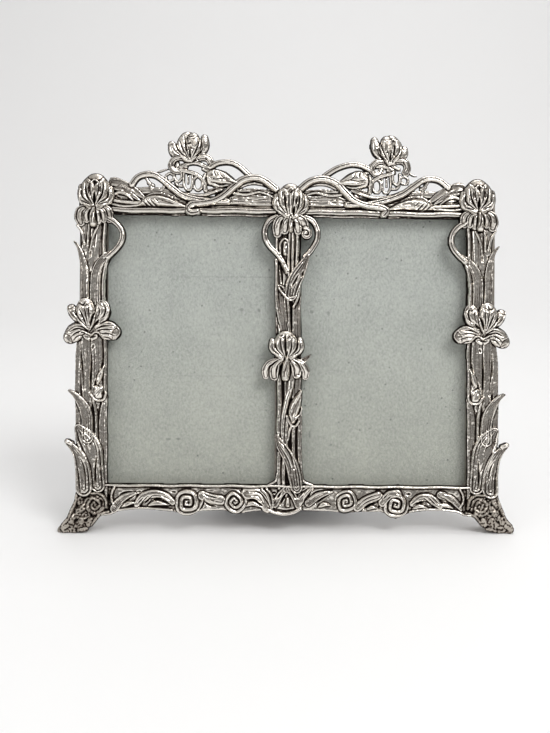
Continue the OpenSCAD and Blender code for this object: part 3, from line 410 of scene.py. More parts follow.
LEFT_FINIAL = [
    (petal, [-44.4, 161.8, -48.2, 163.8, -49.7, 166.9], 2.5, 0.9, 2.8, BLOOM),
    (petal, [-39.2, 161.2, -36.2, 165.8, -35.7, 170], 2.3, 0.9, 3, BLOOM),
    (petal, [-41.8, 160.2, -42.6, 166, -42.8, 169], 5.2, 1.5, 3.3, BLOOM),
    (petal, [-41.2, 160, -40.5, 166, -40.5, 169.6], 3.6, 1.9, 4, BLOOM),
    *grooves(0.6, 1.8, [-41.6, 160.8, -41.7, 164.6]),
    *grooves(0.5, 1.2, [-42, 161, -43.3, 165.6, -44.2, 170.8]),
    *grooves(0.45, 1.1, [-42.4, 161, -44.8, 165, -46.3, 168.6]),
    *grooves(0.5, 1.2, [-42.8, 160.9, -46.4, 164.3, -47.8, 167], [-41, 160.8, -38.8, 164.8, -37.6, 170.4]),
    *grooves(0.4, 0.8, [-41.2, 161.4, -40.2, 164.8]),
    *grooves(0.4, 0.7, [-41.4, 161.4, -42.4, 166]),
    *grooves(0.4, 0.8, [-40.4, 160.8, -37, 164, -36, 167]),
    *grooves(0.4, 0.6, [-45, 162, -48.6, 164.6, -49.4, 166.4]),
    *ridges(0.4, 0.5, [-43.6, 171.4, -41.6, 169.6, -38.8, 170.6]),
    *grooves(1.3, 0.7, [-44, 163.4, -42.4, 165, -39.6, 164.6]),
    *grooves(0.8, 0.4, [-43.2, 167, -41, 167.4]),
    (fall, [-42.4, 160.4, -45.6, 161.6, -48.6, 160.8, -49.9, 158.4, -48.8, 156, -46.4, 155.8, -45.2, 158],
        1.3, 1, 2.7),
    (bud, [-47.2, 159.6, -47.6, 157.2], 1, 0.6, 1.3),
    (fall, [-40.6, 160.4, -37.4, 161.6, -34.4, 161.6, -32.8, 159.6, -32.9, 157.6], 1.6, 1, 2.7),
    *grooves(0.45, 1.2, [-35.2, 161.6, -34.2, 160.2]),
    *grooves(0.4, 1, [-34.4, 159.4, -33.6, 158]),
    *grooves(0.4, 0.8, [-38.6, 161, -37.4, 159.6]),
]

RIGHT_FINIAL = [
    (petal, [41.8, 161.2, 38.4, 165.8, 37.6, 170], 2.4, 0.9, 3, BLOOM),
    (petal, [46.4, 161.6, 49.4, 163.9, 50.2, 166.4], 2.4, 0.9, 2.8, BLOOM),
    (petal, [44.2, 160.2, 44.8, 166, 44.8, 169], 5, 1.5, 3.3, BLOOM),
    (petal, [43.8, 160, 43, 166, 42.8, 169.6], 3.5, 1.9, 4, BLOOM),
    *grooves(0.6, 1.8, [44, 160.8, 44, 164.6]),
    *grooves(0.5, 1.2, [44.3, 161, 45.8, 165.6, 46.2, 170]),
    *grooves(0.45, 1.1, [44.6, 161, 47.6, 164.6, 48.4, 167.6]),
    *grooves(0.5, 1.2, [43.6, 160.8, 41, 164.8, 39.8, 170.2]),
    *grooves(0.4, 0.8, [43.8, 161.4, 42.6, 166]),
    *grooves(0.4, 0.6, [44.2, 161.4, 44.6, 166]),
    *grooves(0.4, 0.8, [43, 160.8, 39.4, 164, 38.4, 167]),
    *ridges(0.4, 0.5, [46, 171, 43.6, 169.6, 41.2, 170.6]),
    *grooves(1.3, 0.7, [46.4, 163.4, 44.6, 165, 42, 164.6]),
    (fall, [43.4, 160.4, 40.4, 161.4, 37.8, 160.4, 36.4, 158, 37.6, 155.8, 39.8, 156, 40.8, 158],
        1.3, 1, 2.7),
    (fall, [44.8, 160.4, 48, 161.6, 51, 160.8, 52, 158.4, 51.2, 156.4], 1.6, 1, 2.7),
    *grooves(0.45, 1.2, [49.8, 161.2, 50.6, 159.6]),
    *grooves(0.4, 0.8, [46.4, 160.8, 47.6, 159.4]),
    (cord, [42.4, 158.8, 45.4, 159, 48.4, 157.8], 0.8, 0.6, 1.8),
]

CORNER_BLOSSOM = [
    (petal, [-83.6, 139.8, -87.4, 143, -88.1, 148], 2.3, 1.6, 2.8, BLOOM),
    (petal, [-80.8, 139.8, -76.8, 142.8, -76.2, 147.4], 2.3, 1.6, 2.8, BLOOM),
    (petal, [-82.4, 139.2, -82.3, 145, -82.2, 149], 7, 2.2, 4, (0.3, 0.8, 1, 0.96, 0.72)),
    *grooves(0.85, 2.6, [-82.3, 140.2, -82.3, 145.6]),
    *grooves(0.55, 1.4, [-83, 140.4, -85.6, 144.4, -86.4, 149.8]),
    *grooves(0.5, 1.2, [-83.6, 140.6, -87.6, 143.8, -88, 148]),
    *grooves(0.4, 0.7, [-82.8, 141.4, -84.2, 146, -84.4, 150.8]),
    *grooves(0.5, 1, [-84, 140.4, -88.8, 142.6]),
    *grooves(0.55, 1.4, [-81.7, 140.4, -79.2, 144.4, -78.4, 149.8]),
    *grooves(0.5, 1.2, [-81.2, 140.4, -77, 143.4, -76.6, 148]),
    *grooves(0.4, 0.8, [-81.9, 141.6, -80.6, 146, -80.4, 150.6]),
    *grooves(0.45, 0.9, [-80.8, 140.2, -76.4, 141.6]),
    *grooves(0.4, 0.7, [-82.6, 147, -82.3, 151.4]),
    *grooves(1.1, 0.8, [-84.9, 145, -84.9, 148.4]),
    *grooves(1, 0.8, [-79.8, 145, -79.8, 148.2]),
    *ridges(0.45, 0.5, [-86.2, 151.2, -84.2, 149.6, -82.4, 151, -80.2, 149.4, -78.6, 150.8]),
    (panel, [-82.8, 139.6, -82.8, 137.8], 5.6, 1.4, 2.2, (0.7, 1)),
    (fall, [-84, 139.6, -88, 138.4, -89.1, 135.4, -88.6, 132.8], 2.1, 1.8, 2.8, FALL),
    (fall, [-80.8, 139.6, -77.2, 138.6, -76.2, 136, -76.4, 134], 1.7, 1.7, 2.8, FALL),
    (fall, [-83.6, 139.4, -85.8, 137, -86, 133.8], 1.5, 2.2, 2.8, FALL),
    (fall, [-82, 139.4, -79.2, 137.4, -78.8, 134], 1.5, 2.2, 2.8, FALL),
    (bud, [-82.7, 139, -83.4, 136, -83.2, 132.6], 1.6, 2.5, 3.2, (0.6, 1, 1)),
    (fall, [-82.2, 139.2, -81, 136.2, -81, 133.2], 1.3, 2.3, 2.8, FALL),
    *grooves(0.4, 1.2, [-84, 138.8, -84.9, 136, -84.8, 132.8]),
    *grooves(0.4, 1, [-87.2, 137.4, -87.6, 133.4], [-82, 138.6, -82, 134.4], [-80.2, 138, -79.8, 134]),
]

CROWN_BLOSSOM = [
    (petal, [0, 136.8, -3.9, 140.6, -4.3, 145.2], 2.2, 1.6, 2.8, BLOOM),
    (petal, [2.8, 136.8, 6.8, 140.2, 6.9, 144.8], 2.2, 1.6, 2.8, BLOOM),
    (petal, [1.3, 136.2, 1.2, 142, 1.2, 146.6], 6.5, 2.3, 4, (0.3, 0.8, 1, 0.96, 0.7)),
    *grooves(0.8, 2.3, [2.6, 136.8, 2.8, 141]),
    *grooves(0.5, 1.3, [0.2, 137, -1, 142, -1.6, 147.4]),
    *grooves(0.5, 1.2, [-0.2, 137.2, -3.4, 141.4, -4, 146]),
    *grooves(0.4, 0.8, [0.9, 137.4, 0.6, 142, 0.4, 148.6]),
    *grooves(0.45, 1, [1.6, 137.8, 2.4, 143, 2.6, 148.6]),
    *grooves(0.5, 1.3, [3.4, 137.4, 4.8, 142, 5, 147.4]),
    *grooves(0.45, 1, [3.6, 137, 7, 140.8, 7, 145.4]),
    *grooves(0.4, 0.9, [-0.6, 137, -4.8, 139.8]),
    *grooves(0.55, 1.4, [-2.1, 144.6, -2.1, 147.6]),
    *grooves(0.4, 0.8, [4, 137, 7.6, 139.6]),
    *grooves(0.9, 0.7, [-0.6, 142, -1, 145.6], [3.6, 141.6, 3.9, 145]),
    *ridges(0.45, 0.5, [-2.4, 149, -0.6, 147.6, 1.2, 148.8, 3.4, 147.6, 5, 148.6]),
    (panel, [1.2, 137, 1.2, 135.4], 5.2, 1.3, 2.1, (0.6, 1)),
    (fall, [0.6, 136.6, -3, 135.4, -4.6, 132.6, -4.5, 129.2], 2.2, 1.7, 3, FALL),
    (fall, [1, 136.4, -0.8, 133.8, -1.4, 130.4], 2, 2.1, 3, FALL),
    (bud, [1.3, 136.2, 1.2, 133.4, 1.1, 130.6], 1.3, 2.4, 2.8, (0.7, 1, 0.9)),
    (fall, [1.8, 136.4, 3.8, 134.2, 4.4, 130.4], 2, 2, 3, FALL),
    (fall, [2.4, 136.4, 6, 135.2, 7.6, 132.4], 2.3, 1.6, 3, FALL),
    (stem, spiral(7.8, 129.4, 2.5, 1.1, 100), 1, 1, 2.9),
    *grooves(0.45, 1.2, [-1.6, 135.6, -2.9, 132.6, -2.8, 129.4], [2.6, 135, 2.8, 131.4]),
    *grooves(0.4, 1, [0.2, 135, 0, 131.2]),
    *grooves(0.45, 1.1, [4.6, 134.8, 6, 132.4]),
]

STILE_BLOSSOM = [
    (petal, [-86.8, 89.2, -90.6, 92.8, -92.4, 95.8], 2.7, 1.3, 2.7, BLOOM),
    (petal, [-83.4, 88.4, -80.2, 93, -79.3, 96.6], 3.8, 1.5, 3, BLOOM),
    (petal, [-85, 87.4, -86.4, 93, -86.6, 97], 4.5, 2.1, 3.9, BLOOM),
    *ridges(0.5, 0.7, [-91.4, 91.4, -94, 95, -94, 97.4, -91.6, 98.2, -89.6, 98]),
    *ridges(0.5, 0.6, [-90, 97.4, -88, 100, -85.2, 100.2, -83, 98, -82.4, 95.4]),
    *grooves(0.75, 2.3, [-84.4, 88.2, -83.9, 91, -82.8, 94]),
    *grooves(0.75, 2, [-82.8, 88.2, -80.9, 91]),
    *grooves(0.5, 1.2, [-86, 88, -87, 91.2, -88.8, 95.6]),
    *grooves(0.55, 1.4, [-86.6, 88.4, -89.6, 92, -90.8, 96]),
    *grooves(0.45, 0.9, [-85.4, 88.6, -86, 92, -86.8, 96.6]),
    *grooves(0.4, 0.7, [-85, 89, -84.9, 93, -84.9, 97.4]),
    *grooves(0.45, 0.8, [-88.8, 91.2, -91.8, 94.6]),
    *grooves(0.45, 0.9, [-89, 98.4, -87.4, 97.2, -86.2, 99]),
    *ridges(0.5, 0.7, [-82, 96.8, -80.4, 99.2, -77.8, 98.8, -76.4, 96, -77.2, 92.8]),
    *grooves(0.5, 1.1, [-79.4, 98, -78, 95.8, -78.6, 92.8, -80, 91.4]),
    *grooves(0.4, 0.7, [-81.4, 91.4, -80.6, 94.4, -81, 96.6]),
    (petal, [-85.2, 86.4, -89.4, 86.8, -93.2, 83.6], 4, 1.4, 2.8, (0.3, 0.62, 0.9, 1, 0.8)),
    (petal, [-83.6, 86.4, -79, 87.2, -74.8, 85.6], 4.3, 1.4, 3, (0.3, 0.6, 0.9, 1, 0.82)),
    (panel, [-84.4, 87, -84.4, 85.8], 4, 1.5, 2),
    *ridges(0.5, 0.6, [-85.4, 86.6, -88.6, 88.6, -92.2, 88, -94.8, 85.4]),
    *grooves(0.5, 1, [-86.6, 86.4, -90, 87, -93.4, 85.6]),
    *grooves(0.45, 0.9, [-86.8, 85.4, -90, 85.4, -93, 83.2], [-87.4, 84.4, -90, 83.6, -92, 81.4]),
    *ridges(0.45, 0.6, [-94.4, 82, -91.8, 80.4, -89.8, 81.8]),
    *grooves(0.45, 0.9, [-83, 86.6, -79, 88.2, -75, 88.4], [-82.6, 86, -78.6, 86.9, -73.6, 86.4]),
    *grooves(0.45, 0.8, [-80.6, 85, -77.4, 85.2, -73.8, 84]),
    *ridges(0.45, 0.6, [-81.6, 88, -77, 89.8, -73.6, 88.4, -71.9, 85.6, -74, 82.4]),
    *grooves(0.4, 0.7, [-79.6, 83.8, -77, 83.4, -75, 82.2]),
    *ridges(0.6, 1.3, [-89.6, 84.2, -88, 86, -85.8, 85.2, -84, 84.6, -82.4, 85.8, -80.6, 85.4,
        -79.2, 83.4]),
    *grooves(0.5, 0.9, [-86.8, 84, -84.6, 83.4, -82, 84.2]),
    *grooves(0.5, 0.8, [-84.6, 83.2, -84.4, 81]),
]

MULLION_BLOSSOM = [
    (petal, [-2, 75.6, -6.2, 79.2, -6.6, 82.8], 2, 1.2, 2.8, BLOOM),
    (petal, [1.4, 75.6, 5.1, 79.4, 5.2, 83.2], 2.1, 1.2, 2.8, BLOOM),
    (petal, [-0.7, 75, -0.8, 79.8, -0.8, 83], 5.8, 1.9, 3.4, (0.35, 0.85, 1, 0.95, 0.72)),
    *grooves(0.65, 1.9, [-0.9, 75.4, -1, 79, -1.1, 85.4]),
    *grooves(0.5, 1.3, [-2, 76, -4.8, 79, -5.6, 83.4]),
    *grooves(0.45, 0.9, [-2.6, 76, -6.2, 78.8, -6.8, 82], [-1.4, 76, -2.8, 79.4, -3.2, 84.6]),
    *grooves(0.45, 1, [0, 75.8, 1.4, 78.8, 2, 84]),
    *grooves(0.5, 1.4, [0.8, 75.8, 3.8, 79.2, 4.2, 84]),
    *grooves(0.45, 0.9, [1.6, 75.9, 5, 78.6, 5.6, 82]),
    *ridges(0.4, 0.5, [-4.4, 85, -2.8, 84, -1.6, 85.2], [0.4, 85.2, 2, 84.2, 3.6, 85]),
    *grooves(0.6, 1.4, [-0.6, 76, -0.2, 78.4]),
    (leaf, [5.4, 73.6, 7.8, 75.2, 10.2, 77.2], 1.3, 1.4, 2.2, TIP),
    (panel, [-0.7, 74.8, -0.9, 73], 6.4, 1.2, 1.9, (0.5, 1)),
    (fall, [-2.4, 75, -7.4, 73.5, -9.6, 70.4, -9.4, 67.4], 1.7, 1.3, 2.7, FALL),
    (fall, [1.6, 75, 5.8, 73.2, 7.7, 70.2, 7.5, 67.2], 1.7, 1.3, 2.7, FALL),
    (fall, [-1.6, 75, -5.2, 72.8, -6, 69.4, -5.8, 67.2], 2.2, 1.8, 2.9, FALL),
    (fall, [0.8, 75, 3.3, 72, 3.6, 68.6], 2.4, 1.8, 2.9, FALL),
    (bud, [-0.5, 75, -1, 71.4, -1.1, 67], 2.1, 2.2, 3, (0.5, 0.9, 1, 0.8)),
    *grooves(0.5, 1.5, [-2.2, 73.8, -3.1, 70.4, -3.1, 66.6]),
    *grooves(0.5, 1.3, [0.4, 73.6, 1.1, 70, 1.2, 67]),
    *grooves(0.5, 1.4, [-4.2, 74.4, -7.7, 71.6, -8, 67.4]),
    *grooves(0.5, 1.2, [2, 74.4, 4.8, 72.4, 5.8, 69]),
    *grooves(0.35, 0.6, [-3.4, 73.6, -5, 70.6, -5, 67.4], [1.8, 73.2, 2.8, 70.6, 2.8, 68]),
    *ridges(0.45, 0.6, [0.8, 68, 2.6, 66.8, 4.2, 67.8, 5.4, 66.6]),
]

STILE_FOLIAGE = [
    (panel, [-86.2, 40, -86.2, 62, -86.5, 74, -86.6, 86], 2, 0.7, 1.9),
    (panel, [-81.8, 58, -81.8, 66, -82, 76, -82.2, 86], 2.5, 0.7, 2),
    (leaf, [-90.1, 44, -90.2, 60, -90.2, 70, -89.4, 82], 1.15, 0.6, 1.8),
    (cord, [-78.3, 11, -78.3, 40, -78.3, 60, -78.3, 86], 0.9, 0.7, 1.7),
    *grooves(0.45, 1.5, [-87.4, 60, -88, 68, -88.7, 78]),
    *grooves(0.5, 1.9, [-84.7, 59, -84.5, 68, -84.3, 76]),
    *grooves(0.5, 1.6, [-83.7, 58.6, -82.4, 64, -80.2, 69, -79.6, 74]),
    *ridges(0.4, 0.4, [-86.3, 60, -86.7, 70, -87, 80]),
    *grooves(0.6, 1.2, [-83.9, 78.6, -83.2, 80.4]),
    (bud, [-81.5, 63, -80.4, 67, -78.7, 71.4], 1.3, 1.3, 2.2, BUD),
    (bud, [-81.8, 58, -81.2, 61.4], 2.1, 1.1, 1.9),
    *grooves(0.5, 1.1, [-83.4, 62.4, -81.8, 62.9, -79.9, 61.6]),
    (cord, [-84.4, 58.8, -82.8, 56.6, -80.8, 56, -79, 56.8, -78, 59.4], 0.6, 1.4, 1.8),
    (panel, [-79.5, 34, -79.5, 46, -79.3, 52, -78.3, 58], 1.6, 0.8, 1.9, (1, 1, 0.7)),
    (cord, [-82.3, 38, -82.2, 48, -82.7, 52.4, -84, 58], 0.75, 0.8, 1.8),
    (bud, [-81.8, 56.4, -81.7, 53], 1.5, 0.6, 1.5, (1, 0.4)),
    (leaf, [-85.9, 40, -85.9, 47, -86.7, 51.4, -88.6, 55.4, -91, 58.6, -93.6, 60.4],
        2.5, 1.3, 2.5, (1, 1, 1, 0.9, 0.6, 0.25)),
    (leaf, [-81.5, 19.5, -81.8, 23, -82.6, 28, -84.4, 35, -87, 40.4, -89.6, 44.2],
        4.9, 1.2, 2.7, LEAN_LEAF),
    *grooves(0.45, 0.7, [-87.8, 43.4, -84.6, 40.4, -82.6, 36.4, -81.6, 31]),
    *ridges(0.45, 0.4, [-89.4, 43.6, -86.4, 40, -84.8, 35.6]),
    *grooves(0.6, 1.4, [-82.2, 32, -82.5, 26, -82.9, 19]),
    *grooves(0.45, 0.8, [-80, 28, -80, 19]),
    (leaf, [-87.4, 18.6, -87.4, 22, -87.8, 26.4, -89.4, 32, -92, 35.8, -94, 37.8],
        3.6, 1.9, 2.5, (1, 1, 0.94, 0.76, 0.5, 0.3)),
    *grooves(0.5, 0.8, [-89.2, 31.6, -87.4, 27.4, -86.4, 22], [-90, 27, -89.4, 22, -88.9, 16]),
    (bud, [-92.6, 37.6, -94.5, 38.5], 1.15, 2, 2),
    (panel, [-84.4, 111, -84, 120, -83.4, 128, -83.2, 137], 3.4, 0.6, 1.7),
    *grooves(0.6, 1.6, [-84.7, 118, -84, 123, -82.8, 129.6]),
    (panel, [-86.9, 122, -86.9, 127, -87.3, 133], 1.5, 0.8, 1.7),
    (cord, [-90, 131.6, -88, 128, -87, 123.4], 0.65, 1, 1.8),
    (cord, [-85.2, 132, -85.5, 127.6, -85.6, 123], 0.6, 1, 1.7),
    (cord, [-81.4, 131.6, -83.2, 127.4, -84.4, 121], 0.55, 1, 1.7),
    (cord, [-78.6, 118, -78.5, 126, -78.3, 134], 0.95, 0.8, 1.8),
    (leaf, [-86.9, 97, -86.9, 107, -87.2, 113, -88.2, 118.4, -89.6, 122, -91.6, 124.6],
        1.85, 1.2, 2.4, (1, 1, 1, 0.85, 0.6, 0.2)),
    *grooves(0.5, 1.8, [-85, 112, -85, 106, -84.9, 99]),
    (leaf, [-82.4, 97, -82.4, 105, -82.2, 110.4, -81, 114.6, -78.6, 118, -75.4, 120.4],
        2.3, 1, 2.4, (1, 1, 1, 0.9, 0.7, 0.4)),
    *grooves(0.45, 1.5, [-79.9, 100, -79.8, 109, -78.6, 115]),
    (cord, [-78.9, 97, -78.9, 108, -78.2, 114, -76.6, 118], 0.95, 1, 2.2),
    *grooves(0.5, 1.2, [-76.9, 115.6, -76.2, 118.4]),
    (stem, [-77, 118.2, -74, 120.8, -71.7, 123.8, -70.8, 127, -71.5, 130.2, -73.8, 133, -77, 135],
        1.4, 1.1, 2.3),
]

MULLION_FOLIAGE = [
    (cord, [-3.9, 19, -4, 30, -4, 45, -3.7, 56, -3.4, 69], 1, 0.9, 1.7, (1, 1, 1, 1.15)),
    (panel, [5, 17, 5.1, 34, 5.2, 46, 5.1, 54], 1, 0.7, 1.9),
    (panel, [3.6, 56, 3.9, 70], 2, 0.6, 1.6),
    (cord, [2.3, 28, 2.4, 38, 2.5, 45], 0.9, 0.9, 1.7),
    (cord, [-0.6, 30, -0.6, 42, -0.3, 50], 0.9, 0.9, 1.8),
    (cord, [-1.2, 53, -0.9, 60, -1, 69], 0.65, 0.6, 1.7),
    (cord, [-1.9, 36, -2.3, 44, -1.9, 51, -0.6, 57, 1, 61.6, 1.6, 69],
        1.15, 1, 1.9, (0.8, 0.9, 1, 1.2, 1.5)),
    (bud, [2.2, 48, 2.6, 52.4, 3.9, 56.4, 5.8, 61], 2.7, 1, 2.8, (0.4, 0.95, 1, 0.7, 0.25)),
    *grooves(0.45, 1.2, [2.6, 49.6, 4.8, 52, 5.8, 55.4]),
    *ridges(0.5, 0.7, [2.6, 48.4, 5.2, 51.4, 6.3, 55, 6.1, 60]),
    (cord, [-0.6, 50.4, 0.5, 47.8, 1.7, 46.2, 3.2, 46, 4.6, 48], 0.6, 1.3, 1.8),
    (cord, [1.6, 46.2, 0.7, 43.6, 0.1, 40], 0.65, 1, 1.8),
    (cord, [-4.6, 25, -5.3, 22, -8.6, 20.2], 0.7, 0.9, 1.7),
    (cord, [5.6, 26, 6.8, 22.2, 10.6, 20.2], 0.8, 0.9, 1.7),
    (cord, [-1.8, 18, -1.9, 25, -1.8, 32], 0.95, 1, 1.8),
    (leaf, [3.8, 19.4, 3, 24, 1.5, 29.4, -0.6, 33.4, -3, 37.2, -5, 41.2],
        2.9, 1.4, 2.6, (0.9, 1, 0.92, 0.85, 0.75, 0.35)),
    *grooves(0.5, 0.8, [-4.2, 40, -1, 36.4, 1.2, 32.4, 2.6, 27]),
    *grooves(0.45, 0.6, [-4, 37.2, -1.4, 33.4, 0.8, 28.6, 1.6, 23]),
    (leaf, [-1.3, 84, -2.1, 91, -2.8, 97, -3.3, 105], 2.3, 1, 2.2),
    (cord, [0.6, 84, 0.6, 92, 0.4, 97, 0.1, 101], 0.8, 0.8, 2),
    (leaf, [3.6, 84, 3.8, 94, 4.2, 103], 1.8, 1, 2.1),
    *grooves(0.5, 1.6, [-3.2, 87.6, -4.2, 91, -4.9, 95]),
    *grooves(0.5, 1.8, [1.3, 87.6, 1.4, 94, 2.3, 98.8]),
    *grooves(0.4, 1.2, [-0.2, 90.6, -0.6, 96.6]),
    (cord, [-3.8, 105.8, -1.9, 103.3, 0, 101.2], 0.55, 1.6, 2),
    (cord, [0, 101.2, 1.8, 101.8, 3.7, 102.1], 0.5, 1.6, 1.8),
    (cord, [4.9, 106.2, 4.7, 102.6, 3.6, 99.6, 2.5, 97.6], 0.6, 1.5, 2),
    (cord, [-4.8, 97, -4.8, 108, -5, 118], 0.85, 0.8, 2),
    (panel, [-1, 104, -1, 118, -1.6, 132], 2.6, 0.5, 1.2),
    (cord, [0.3, 111, 0.5, 120, 0.9, 131], 0.65, 0.8, 2),
    (cord, [2.1, 113, 2.2, 121, 2.1, 131], 0.75, 0.8, 2),
    (cord, [4, 115, 4.2, 122, 4.1, 131], 0.95, 0.7, 1.9),
    (cord, [-3, 120.6, -3.1, 124.6, -1.7, 127, 0, 126, 0.5, 122.6], 0.5, 1, 1.7),
    (bud, [-1, 125.2, -0.9, 120.6], 1.1, 0.8, 1.9),
    (cord, [-4.6, 122.6, -4.6, 128], 0.7, 0.7, 1.7),
    *grooves(0.7, 1, [-3.2, 118, -2.6, 112, -2.2, 106.4]),
    (stem, [-4.4, 136.4, -8, 134.8, -9.9, 131, -9.4, 127, -7.4, 123.6, -4.6, 120.6, -2.2, 117, -0.4, 112.8],
        1.35, 1.1, 2.3, (1, 1, 1, 0.8)),
    (stem, [6.6, 136.8, 10.8, 135, 12.8, 131.2, 12.6, 127.2, 10.4, 123, 7.6, 119.4], 1.35, 1, 2.3),
    (leaf, [8.6, 119.6, 6.2, 114.8, 3.9, 110.8, 2.2, 107, 1.4, 102.8],
        3.2, 1.4, 2.6, (0.3, 0.7, 1, 1, 0.85)),
    *grooves(0.55, 1.3, [4.7, 111.8, 2.9, 108.6, 1.6, 106.4]),
    *grooves(0.5, 1.3, [7, 113.6, 6, 110.6]),
    *ridges(0.5, 0.5, [7.6, 117.8, 4, 114, 1.6, 110.4, 0.4, 106]),
]

